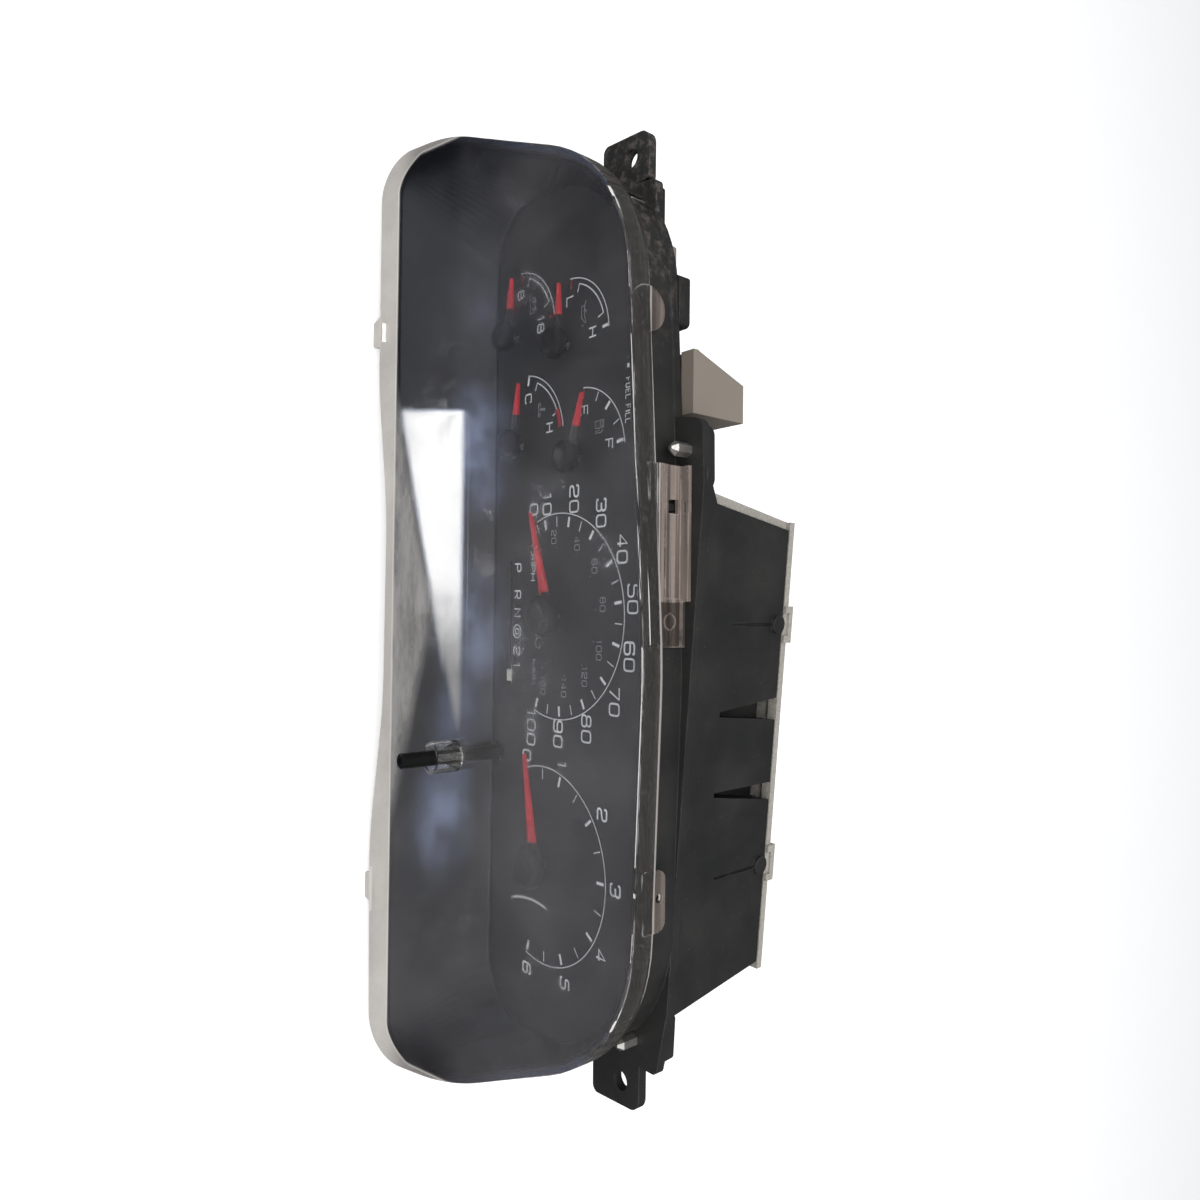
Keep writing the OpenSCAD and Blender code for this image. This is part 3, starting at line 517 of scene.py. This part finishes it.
def rubbedZone(tree, look, streaks):
    # dull zone along the middle of the bottom edge
    x, y, z = place(tree)
    away = magnitude(tree, maths(tree, "ADD", x, -look["rubbedMiddle"]))
    border = plus(tree, look["rubbedTop"], times(tree, away, look["rubbedFall"]))
    least, more = look["rubbed"]
    return times(tree, band(tree, x, *look["rubbedEnds"], 0.03), ramp(tree, minus(tree, border, z), -0.003, 0.008),
                 plus(tree, least, times(tree, ramp(tree, streaks, 0.35, 0.65), more)))

def curvedScuff(tree, look, streaks):
    # one curved scuff beside the right-hand hub
    x, y, z = place(tree)
    ring = distanceTo(tree, look["scuffAt"])
    return times(tree, band(tree, ring, *look["scuffRing"], 0.0006), ramp(tree, x, 0.128, 0.124),
                 band(tree, z, *look["scuffHeights"], 0.002), ramp(tree, streaks, 0.3, 0.5), look["scuff"])

def wallBand(tree, look, cloud, fine):
    # the wall's own thickness shows pale along the bottom and faintly at both ends:
    # a band inside a rounded outline, with a thin painted highlight line along its border
    x, y, z = place(tree)
    across = minus(tree, magnitude(tree, plus(tree, x, -look["middle"])), look["halfWide"])
    down = plus(tree, times(tree, z, -1.0), -look["halfHigh"])
    beyond = hypotenuse(tree, highest(tree, across, 0.0), highest(tree, down, 0.0))
    lowness = ramp(tree, z, -0.05, -0.068)
    depth = minus(tree, beyond, look["corner"])
    inside = plus(tree, depth, look["wallEnd"], times(tree, lowness, look["wallLow"]))
    even, low, clouds, grains = look["wall"]
    share = plus(tree, even, times(tree, lowness, low), times(tree, cloud, clouds), times(tree, fine, grains))
    wall = times(tree, ramp(tree, inside, -0.001, 0.001), share)
    start, end, bright = look["wallLine"]
    return plus(tree, wall, times(tree, band(tree, inside, start, end, 0.0003), bright))

def filmEdges(tree, look, fine, side, top):
    # pale edges, palest along the bottom, and clear round the collar
    under = ramp(tree, facing(tree)[2], -0.3, -0.7)
    pastCollar = ramp(tree, distanceTo(tree, look["collar"]), *look["collarReach"])
    even, low, besides, grains = look["sides"]
    dust = plus(tree, even, times(tree, under, low), times(tree, minus(tree, 1.0, top), besides),
                times(tree, ramp(tree, fine, 0.5, 0.8), grains))
    return times(tree, side, pastCollar, dust)

def hazyTabs(tree, look, behind):
    # hazy tabs with darker streaks
    x, y, z = place(tree)
    bars = plus(tree, 0.22, times(tree, ramp(tree, noise(tree, 60, 3, 0.6, (0.12, 5, 1)), 0.35, 0.65), 0.6))
    tabs = [times(tree, band(tree, x, start, end, 0.0003), share) for start, end, share in look["tabs"]]
    return times(tree, highest(tree, *tabs), behind, bars)

def paleClips(tree, look):
    x, y, z = place(tree)
    low, half = ramp(tree, z, *look["clipTop"]), look["clipHalf"]
    return plus(tree, *[times(tree, band(tree, x, centre - half, centre + half, 0.001), low, look["clip"])
                        for centre in look["clips"]])

def filmMaterial(look):
    m, tree, shader, out = newMaterial("lensDustAndHighlights")
    x, y, z = place(tree)
    nx, ny, nz = facing(tree)
    ahead = plus(tree, times(tree, ny, look["frontWay"][0]), times(tree, nz, look["frontWay"][1]))
    front = ramp(tree, ahead, *look["frontFrom"])
    side, top = minus(tree, 1.0, front), ramp(tree, nz, 0.3, 0.7)
    cloud = ramp(tree, noise(tree, 13, 5, 0.62), 0.38, 0.72)
    fine = noise(tree, 700, 3, 0.7)
    streaks = noise(tree, 60, 5, 0.65, (0.5, 1, 1.8))
    film, scuff = frontFilm(tree, look, cloud, fine), curvedScuff(tree, look, streaks)
    rubbed, wall = rubbedZone(tree, look, streaks), wallBand(tree, look, cloud, fine)
    faceFilm = times(tree, front, highest(tree, plus(tree, film, scuff), rubbed, wall))
    # painted highlights: thin light lines where the faces meet, and one along the foot of the top
    edgeHighlightLines = times(tree, useGroup(tree, edgeGroup, Radius=0.0011).outputs["Edge"], look["edgeLines"])
    start, end, share = look["topLine"]
    foot = times(tree, top, band(tree, y, start, end, 0.0002), share)
    behind = times(tree, ramp(tree, y, -0.019, -0.018), ramp(tree, z, 0.066, 0.067))
    clips = paleClips(tree, look)
    edges, tabs = filmEdges(tree, look, fine, side, top), hazyTabs(tree, look, behind)
    total = plus(tree, faceFilm, edges, edgeHighlightLines, foot, tabs)
    tree.links.new(maths(tree, "ADD", total, clips, True), shader.inputs["Alpha"])
    tone = mixColour(tree, ramp(tree, rubbed, 0.05, 0.3), look["hazeColour"], look["rubbedColour"])
    pale = maths(tree, "ADD", plus(tree, side, clips), ramp(tree, wall, 0.1, 0.3), True)
    tone = mixColour(tree, pale, tone, look["edgeColour"])
    tree.links.new(mixColour(tree, behind, tone, look["tabColour"]), shader.inputs["Base Color"])
    setInputs(shader, Roughness=look["rough"], SpecularIORLevel=look["specular"])
    finishSurface(tree, shader, fine, look["bump"], 0.0001)
    return m

finishes["film"] = filmMaterial(lensFilm)

def makeLensFilm(look):
    bm = bmesh.new()
    bm.from_mesh(bpy.data.objects["lens"].data)
    bmesh.ops.remove_doubles(bm, verts=bm.verts, dist=1e-6)

    def facesIn(f):
        # the wall's inner faces look to the back or to the middle
        spot, way = f.calc_center_median(), f.normal
        inward = way.x * spot.x + way.z * spot.z < 0
        return way.y > look["backFrom"] or (abs(way.y) <= look["backFrom"] and inward)

    bmesh.ops.delete(bm, geom=[f for f in bm.faces if facesIn(f)], context="FACES")
    for v in bm.verts:
        v.co += v.normal * look["lift"] * mm
    for f in bm.faces:
        f.smooth = False
    return addPiece("lens_dust_and_highlight_film", bm, "film")

makeLensFilm(lensFilm)


# the stem's return spring as wound wire; the real one shortens as the stem goes in, this one is built at one
# length
returnSpring = {"at": (64.8, -25), "ends": (-4.45, -10.45), "radius": 3.4, "wire": 0.42, "turns": 5, "steps": 20}

def makeReturnSpring(look):
    points = []
    total = look["turns"] * look["steps"]
    for i in range(total + 1):
        turn = 2 * math.pi * i / look["steps"]
        y = look["ends"][0] + (look["ends"][1] - look["ends"][0]) * i / total
        points.append(((look["at"][0] + look["radius"] * math.cos(turn)) * mm, y * mm,
                       (look["at"][1] + look["radius"] * math.sin(turn)) * mm))
    mesh = wireMesh([(points, False)], look["wire"] * mm, 2)
    bm = bmesh.new()
    bm.from_mesh(mesh)
    bpy.data.meshes.remove(mesh)
    bmesh.ops.recalc_face_normals(bm, faces=bm.faces)
    spring = newObject("return_spring", bm)
    dress(spring, "steel")
    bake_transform(spring)
    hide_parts("stem_spring")

makeReturnSpring(returnSpring)


# printed dial: every mark is a flat stroke lying on the plate
dialPrint = {"front": -21.06, "flatness": 0.06, "cornerSteps": 4, "cornerRadius": 0.26}
strokeWidths = {"fine": 0.55, "thick": 1.5, "digits": 0.95, "medium": 0.7, "small": 0.5, "dot": 1.9,
                "dim": 0.45, "red": 1.2, "redBand": 3.2}
# strokes of each letter in a box one wide and one high
strokeGlyphs = {
    "0": [[(0, 0), (1, 0), (1, 1), (0, 1), (0, 0)]],
    "1": [[(0.15, 0.84), (0.6, 1), (0.6, 0)]],
    "2": [[(0, 0.74), (0, 1), (1, 1), (1, 0.52), (0, 0.4), (0, 0), (1, 0)]],
    "3": [[(0, 0.8), (0, 1), (1, 1), (1, 0.52), (0.3, 0.52)], [(0.5, 0.52), (1, 0.52), (1, 0), (0, 0), (0, 0.2)]],
    "4": [[(0.75, 0), (0.75, 1), (0, 0.28), (1, 0.28)]],
    "5": [[(0.95, 1), (0.08, 1), (0.02, 0.6), (1, 0.6), (1, 0), (0, 0), (0, 0.18)]],
    "6": [[(0.95, 0.82), (0.95, 1), (0, 1), (0, 0), (1, 0), (1, 0.58), (0.02, 0.58)]],
    "7": [[(0, 1), (1, 1), (0.35, 0)]],
    "8": [[(0.06, 0.54), (0.94, 0.54), (0.94, 1), (0.06, 1), (0.06, 0.54)],
          [(0, 0), (1, 0), (1, 0.54), (0, 0.54), (0, 0)]],
    "9": [[(0.05, 0.18), (0.05, 0), (1, 0), (1, 1), (0, 1), (0, 0.42), (0.98, 0.42)]],
    "C": [[(1, 0.8), (1, 1), (0, 1), (0, 0), (1, 0), (1, 0.2)]],
    "D": [[(0, 0), (1, 0), (1, 1), (0, 1), (0, 0)]],
    "E": [[(1, 1), (0, 1), (0, 0), (1, 0)], [(0, 0.5), (0.85, 0.5)]],
    "F": [[(1, 1), (0, 1), (0, 0)], [(0, 0.5), (0.85, 0.5)]],
    "H": [[(0, 0), (0, 1)], [(1, 0), (1, 1)], [(0, 0.5), (1, 0.5)]],
    "I": [[(0.5, 0), (0.5, 1)]],
    "L": [[(0, 1), (0, 0), (1, 0)]],
    "M": [[(0, 0), (0, 1), (0.5, 0.3), (1, 1), (1, 0)]],
    "N": [[(0, 0), (0, 1), (1, 0), (1, 1)]],
    "P": [[(0, 0), (0, 1), (1, 1), (1, 0.44), (0, 0.44)]],
    "R": [[(0, 0), (0, 1), (1, 1), (1, 0.44), (0, 0.44)], [(0.55, 0.44), (1, 0)]],
    "U": [[(0, 1), (0, 0), (1, 0), (1, 1)]],
    "k": [[(0, 0), (0, 1)], [(0.85, 0.68), (0, 0.28)], [(0.35, 0.45), (0.9, 0)]],
    "m": [[(0, 0), (0, 0.68), (1, 0.68), (1, 0)], [(0.5, 0.68), (0.5, 0)]],
    "h": [[(0, 0), (0, 1)], [(0, 0.66), (1, 0.66), (1, 0)]],
    "/": [[(0, -0.1), (1, 1.1)]],
}
squareGlyphs = "147EFHILMNk/"
glyphWidths = {"1": 0.62, "I": 0.25, "/": 0.6, "M": 1.15, "m": 1.2, " ": 0.5}

def roundPath(points, radius):
    # turns each corner of a path into a short curve
    closed = points[0] == points[-1]
    corners = [Vector(p) for p in (points[:-1] if closed else points)]
    result = []
    for i, corner in enumerate(corners):
        if radius == 0 or (not closed and i in (0, len(corners) - 1)):
            result.append(corner)
            continue
        before, after = corners[i - 1] - corner, corners[(i + 1) % len(corners)] - corner
        reach = min(radius, before.length / 2, after.length / 2)
        start, end = corner + before.normalized() * reach, corner + after.normalized() * reach
        for step in range(dialPrint["cornerSteps"] + 1):
            t = step / dialPrint["cornerSteps"]
            result.append(start * (1 - t) ** 2 + corner * 2 * t * (1 - t) + end * t ** 2)
    return result, closed

def printStrokes(bm, paths, width):
    # wires along the paths, pressed flat on the plate
    y = dialPrint["front"] * mm
    placed = [([(p[0] * mm, y, p[1] * mm) for p in points], closed) for points, closed in paths]
    mesh = wireMesh(placed, width * mm / 2, 1)
    press = Matrix.Diagonal((1, dialPrint["flatness"], 1, 1))
    mesh.transform(Matrix.Translation((0, y, 0)) @ press @ Matrix.Translation((0, -y, 0)))
    bm.from_mesh(mesh)
    bpy.data.meshes.remove(mesh)

def onDial(centre, r, angle):
    a = math.radians(angle)
    return Vector((centre[0] + r * math.sin(a), centre[1] + r * math.cos(a)))

def bar(centre, r0, r1, angle):
    return [onDial(centre, r0, angle), onDial(centre, r1, angle)], False

def arc(centre, r, start, end):
    # one step per four degrees; a full circle is closed
    steps = max(6, int(abs(end - start) / 4))
    closed = abs(end - start) >= 360
    count = steps if closed else steps + 1
    return [onDial(centre, r, start + (end - start) * i / steps) for i in range(count)], closed

def words(text, x, z, size, wide=0.8, gap=0.3):
    # strokes of a line of text centred on x and z, size high
    widths = [glyphWidths.get(letter, 1.0) * wide * size for letter in text]
    left = x - (sum(widths) + gap * size * (len(text) - 1)) / 2
    paths = []
    for letter, width in zip(text, widths):
        for stroke in strokeGlyphs.get(letter, []):
            radius = 0 if letter in squareGlyphs else dialPrint["cornerRadius"] * size
            spots = [(left + px * width, z - size / 2 + pz * size) for px, pz in stroke]
            paths.append(roundPath(spots, radius))
        left += width + gap * size
    return paths

def icon(x, z, strokes):
    return [roundPath([(x + px, z + pz) for px, pz in stroke], 0) for stroke in strokes]

def finishPrint(name, bm, finish):
    bmesh.ops.recalc_face_normals(bm, faces=bm.faces)
    return addPiece(name, bm, finish)

# places are x and z in mm, those of the speed scale from its pivot
speedScale = {
    "ring": (45, -109.7, 110.4), "ticks": (39.2, 43.6), "zero": -110.4, "ten": -102.6, "sweep": 212.6,
    "numberHigh": 5.9,
    "numbers": {0: (-48.2, -18.1), 10: (-49.9, -8.0), 20: (-50.3, 11.5), 30: (-42.8, 29.7), 40: (-27.4, 43.2),
                50: (-7.3, 49.9), 60: (15.5, 48.1), 70: (33.9, 39.4), 80: (46.8, 21.6), 90: (51.1, 2.1),
                100: (50.2, -18.1)},
    "innerHigh": 3.3, "innerWide": 0.72, "innerTicks": (5.2, 4.5), "innerTurn": 3,
    "inner": {20: (-34.8, -2.7), 40: (-31.0, 13.9), 60: (-21.0, 25.8), 80: (-5.2, 31.4), 100: (13.6, 29.3),
              120: (25.1, 20.0), 140: (30.7, 5.8), 160: (30.7, -9.4)},
    "unit": ("MPH", -21.8, -18.2, 3.1, 1.0), "innerUnit": ("km/h", 25.2, -16.5, 2.6, 0.85)}
tachScale = {"ring": (43.2, -109.0, 106.0), "ticks": (37.6, 42.0), "step": 17.88, "first": -109.2,
             "numberHigh": 5.7,
             "numbers": ((48.4, -106), (47.8, -74), (50.0, -36), (49.2, -1), (49.2, 34), (49.7, 70), (50.1, 103))}
smallScales = {"volt": (29.8, -84, -8), "oil": (28.4, -86, -3), "temp": (32.1, -81, -8)}
smallBand = {"below": 2.4, "turnedIn": 6.0, "inset": 15}
fuelScale = {"ring": (29.7, -85, -5), "ticks": (25.0, 28.9), "fine": (-64, -26), "thick": (-46, -8)}
endMarks = (("oil", 24.4, 27.9, -5), ("temp", 27.6, 31.6, -80))
smallLetters = (("8", -148.9, -11.7), ("18", -131.4, 4.4), ("L", -135.8, 26.0), ("H", -118.8, 41.8),
                ("C", -99.2, -4.6), ("H", -83.3, 12.1), ("E", -86.6, 36.7), ("F", -70.2, 53.1))
smallLetterSize = (4.6, 0.82)
gearLetters = {"high": 4.9, "wide": 0.72, "below": 30.3, "ringed": "D", "ringedShare": 0.62, "ring": 3.0,
               "places": {"P": -22.2, "R": -9.7, "N": -1.3, "D": 7.3, "2": 16.4, "1": 22.9}}
fuelWords = ("FUEL FILL", -86.0, 64.7, 2.8, 0.52)
fuelDot = (-99.6, 64.7, [[(-1.2, 0), (0.5, 0)]])

def speedAngle(v):
    return speedScale["zero"] if v == 0 else speedScale["ten"] + (v - 10) / 90 * speedScale["sweep"]

def bentBand(centre, r, start, end):
    # the thicker inner band of a small gauge, with its ends turned in
    start, end, foot = start + smallBand["inset"], end - smallBand["inset"], r - smallBand["turnedIn"]
    points = arc(centre, r - smallBand["below"], start, end)[0]
    return [onDial(centre, foot, start)] + points + [onDial(centre, foot, end)], False

def makeDialPrint():
    bm = bmesh.new()
    speedo, tach, fuel = (gauges[name]["pivot"] for name in ("speedo", "tach", "fuel"))
    fine, thick, digits, medium = [arc(speedo, *speedScale["ring"])], [], [], []
    for v in [0] + list(range(10, 105, 5)):
        (thick if v % 10 == 0 and v > 0 else fine).append(bar(speedo, *speedScale["ticks"], speedAngle(v)))
    for v, (x, z) in speedScale["numbers"].items():
        digits += words(str(v), speedo[0] + x, speedo[1] + z, speedScale["numberHigh"])
    fine.append(arc(tach, *tachScale["ring"]))
    for k in range(13):
        angle = tachScale["first"] + k * tachScale["step"]
        (thick if k % 2 == 0 else fine).append(bar(tach, *tachScale["ticks"], angle))
    for k, (r, a) in enumerate(tachScale["numbers"]):
        digits += words(str(k), *onDial(tach, r, a), tachScale["numberHigh"])
    for name, scale in smallScales.items():
        fine.append(arc(gauges[name]["pivot"], *scale))
        medium.append(bentBand(gauges[name]["pivot"], *scale))
    fine.append(arc(fuel, *fuelScale["ring"]))
    fine += [bar(fuel, *fuelScale["ticks"], angle) for angle in fuelScale["fine"]]
    thick += [bar(fuel, *fuelScale["ticks"], angle) for angle in fuelScale["thick"]]
    thick += [bar(gauges[name]["pivot"], *mark) for name, *mark in endMarks]
    for text, x, z in smallLetters:
        medium += words(text, x, z, *smallLetterSize)
    gearLine = speedo[1] - gearLetters["below"]
    for letter, x in gearLetters["places"].items():
        size = gearLetters["high"] * (gearLetters["ringedShare"] if letter == gearLetters["ringed"] else 1)
        medium += words(letter, speedo[0] + x, gearLine, size, gearLetters["wide"])
    ringed = speedo[0] + gearLetters["places"][gearLetters["ringed"]]
    medium.append(arc((ringed, gearLine), gearLetters["ring"], 0, 360))
    text, x, z, size, wide = speedScale["unit"]
    small = words(text, speedo[0] + x, speedo[1] + z, size, wide) + words(*fuelWords)
    printStrokes(bm, fine, strokeWidths["fine"])
    printStrokes(bm, thick, strokeWidths["thick"])
    printStrokes(bm, digits, strokeWidths["digits"])
    printStrokes(bm, medium, strokeWidths["medium"])
    printStrokes(bm, small, strokeWidths["small"])
    printStrokes(bm, icon(*fuelDot), strokeWidths["dot"])
    return finishPrint("dial_markings", bm, "ink")

# the small picture marks: place on the dial, then strokes around it
pictures = {
    "battery": (-141.5, -2, [
        [(-3.4, -2), (3.4, -2), (3.4, 1.6), (-3.4, 1.6), (-3.4, -2)],
        [(-2.2, 1.6), (-2.2, 2.3), (-1, 2.3), (-1, 1.6)],
        [(1, 1.6), (1, 2.3), (2.2, 2.3), (2.2, 1.6)], [(-2.4, 0), (-1, 0)], [(1, 0), (2.4, 0)],
        [(1.7, -0.7), (1.7, 0.7)]]),
    "oilCan": (-128.5, 36, [
        [(-5, 1.2), (-3, 0.2), (-3, -1.8), (2, -1.8), (5, 1.2), (1.4, 0.2), (-3, 0.2)],
        [(-0.8, 0.3), (-0.8, 1.3), (0.2, 1.3)], [(5.4, -0.6), (5.4, -1.4)]]),
    "thermometer": (-92.5, 6, [
        [(0, -0.6), (0, 2.6)], [(0, 2.2), (1.2, 2.2)], [(0, 1), (1.2, 1)],
        [(-0.5, -1), (0.5, -1), (0.5, -0.2), (-0.5, -0.2), (-0.5, -1)], [(-3.2, -1), (-2.2, -1.5), (-1.3, -1)],
        [(1.3, -1), (2.2, -1.5), (3.2, -1)], [(-3.2, -2.2), (-1.6, -2.7), (0, -2.2), (1.6, -2.7), (3.2, -2.2)]]),
    "pump": (-78.5, 47, [
        [(-2.2, -2.8), (0.8, -2.8), (0.8, 2.8), (-2.2, 2.8), (-2.2, -2.8)],
        [(-1.5, 0.6), (0.1, 0.6), (0.1, 2.1), (-1.5, 2.1), (-1.5, 0.6)],
        [(0.8, -0.4), (1.9, -0.4), (1.9, -2.4), (2.8, -2.4), (2.8, 1.2), (1.8, 2.4)]])}
speedMark = {"at": (12.5, 6), "ring": (2.4, 30, 330), "hand": (0, 1.6, 60)}

def makeDimPrint():
    # inner km/h scale and the small picture marks
    bm = bmesh.new()
    speedo = gauges["speedo"]["pivot"]
    strokes = []
    for v, (x, z) in speedScale["inner"].items():
        strokes += words(str(v), speedo[0] + x, speedo[1] + z, speedScale["innerHigh"], speedScale["innerWide"])
        angle, r = math.degrees(math.atan2(x, z)), math.hypot(x, z)
        turn = speedScale["innerTurn"] if v < 100 else -speedScale["innerTurn"]
        foot, tip = speedScale["innerTicks"]
        strokes.append(bar(speedo, r - foot, r - tip, angle + turn))
    text, x, z, size, wide = speedScale["innerUnit"]
    strokes += words(text, speedo[0] + x, speedo[1] + z, size, wide)
    for picture in pictures.values():
        strokes += icon(*picture)
    strokes += [arc(speedMark["at"], *speedMark["ring"]), bar(speedMark["at"], *speedMark["hand"])]
    printStrokes(bm, strokes, strokeWidths["dim"])
    return finishPrint("dial_markings_dim", bm, "dimInk")

redMarks = (("volt", 25.2, 28.9, -81), ("volt", 25.2, 28.9, -8), ("oil", 23.8, 27.5, -84),
            ("fuel", 25.0, 28.7, -84))
redBand = ("temp", 29.7, -25, -9)

def makeRedPrint():
    bm = bmesh.new()
    printStrokes(bm, [bar(gauges[name]["pivot"], *mark) for name, *mark in redMarks], strokeWidths["red"])
    printStrokes(bm, [arc(gauges[redBand[0]]["pivot"], *redBand[1:])], strokeWidths["redBand"])
    return finishPrint("dial_markings_red", bm, "redInk")

makeDialPrint()
makeDimPrint()
makeRedPrint()
print("dial printed")


# floor and light; for mirror rays only, the floor in front of the lens is dark with one bright window
paleFloor = {"half": 4, "colour": (0.86, 0.86, 0.86, 1), "rough": 0.9, "glow": 0.45}
mirrorPatch = {"corner": (-0.1087, -0.0954), "far": -0.1455, "slant": -0.27, "lean": 0.237, "power": 13.0,
               "dim": 0.035, "cloudColour": (0.52, 0.63, 1.0), "flat": 2.5, "least": 0.03,
               # clouds of sky light: x, y, reach and strength
               "clouds": ((-0.1, -0.16, 0.055, 3.0), (0.01, -0.155, 0.06, 2.2), (0.115, -0.134, 0.05, 2.4),
                          (-0.19, -0.16, 0.07, 0.4), (0.06, -0.148, 0.05, 1.6))}

def mirroredLight(tree, patch):
    # what the lens mirrors: a window with sharp borders that fades to the right, and soft clouds
    x, y, z = place(tree)
    (cornerX, cornerY), far = patch["corner"], patch["far"]
    near = plus(tree, cornerY, times(tree, minus(tree, x, cornerX), patch["slant"]))
    start = plus(tree, cornerX, times(tree, minus(tree, y, cornerY), patch["lean"]))
    window = times(tree, ramp(tree, minus(tree, near, y), -0.0015, 0.0025),
                   ramp(tree, y, far - 0.002, far + 0.002), ramp(tree, minus(tree, x, start), -0.0015, 0.0015))
    fade = plus(tree, times(tree, ramp(tree, x, 0.03, -0.03), 0.75), times(tree, ramp(tree, x, 0.09, 0.0), 0.25))
    blobs = []
    for cloudX, cloudY, reach, power in patch["clouds"]:
        away = hypotenuse(tree, minus(tree, x, cloudX), minus(tree, y, cloudY), patch["flat"])
        blobs.append(times(tree, ramp(tree, away, reach, 0.0), power))
    uneven = plus(tree, 0.35, ramp(tree, noise(tree, 30, 5, 0.65), 0.35, 0.7))
    glow = times(tree, plus(tree, highest(tree, *blobs), patch["least"]), uneven)
    light = node(tree, "Emission")
    tree.links.new(mixColour(tree, window, patch["cloudColour"], (1.0, 1.0, 1.0)), light.inputs["Color"])
    strength = plus(tree, patch["dim"], glow, times(tree, window, fade, patch["power"]))
    tree.links.new(strength, light.inputs["Strength"])
    return light.outputs[0]

def makeFloor(height, look, patch):
    bm = bmesh.new()
    bmesh.ops.create_grid(bm, x_segments=1, y_segments=1, size=look["half"])
    bmesh.ops.translate(bm, verts=bm.verts, vec=(0, 0, height))
    floor = newObject("floor", bm)
    m, tree, shader, out = newMaterial("paleFloor")
    setInputs(shader, BaseColor=look["colour"], Roughness=look["rough"], EmissionColor=(1, 1, 1, 1))
    path = node(tree, "LightPath")
    tree.links.new(times(tree, seenDirectly(tree, path), look["glow"]), shader.inputs["Emission Strength"])
    mixed = mixShaders(tree, path.outputs["Is Glossy Ray"], shader.outputs[0], mirroredLight(tree, patch))
    tree.links.new(mixed, out.inputs["Surface"])
    floor.data.materials.append(m)

# name, place, sides and power of each lamp, all turned to the origin
lamps = (("softTop", (0, -0.45, 1.5), (1.5, 1.0), 18), ("softLeft", (-1.3, -0.8, 0.8), (0.8, 0.8), 5),
         ("softRight", (1.3, -0.8, 0.9), (0.8, 0.8), 6))

def makeLamp(name, spot, size, power):
    data = bpy.data.lights.new(name, "AREA")
    data.shape, data.size, data.size_y = "RECTANGLE", size[0], size[1]
    data.energy = power
    lamp = bpy.data.objects.new(name, data)
    lamp.location = spot
    lamp.rotation_euler = (-Vector(spot)).to_track_quat("-Z", "Y").to_euler()
    scene.collection.objects.link(lamp)

# dim sky light on the part, plain white where the camera sees it
skyLook = {"colour": (0.93, 0.96, 1.0), "strength": 0.32}

def makeWorld(look):
    world = bpy.data.worlds.new("studio")
    scene.world = world
    world.use_nodes = True
    tree = world.node_tree
    sky, seen = tree.nodes["Background"], seenDirectly(tree, node(tree, "LightPath"))
    tree.links.new(mixColour(tree, seen, look["colour"], (1.0, 1.0, 1.0)), sky.inputs[0])
    tree.links.new(plus(tree, look["strength"], times(tree, seen, 1 - look["strength"])), sky.inputs[1])

makeFloor(cadBox[0][2], paleFloor, mirrorPatch)
for lamp in lamps:
    makeLamp(*lamp)
makeWorld(skyLook)
scene.view_settings.view_transform = "Standard"
print("floor and lamps")
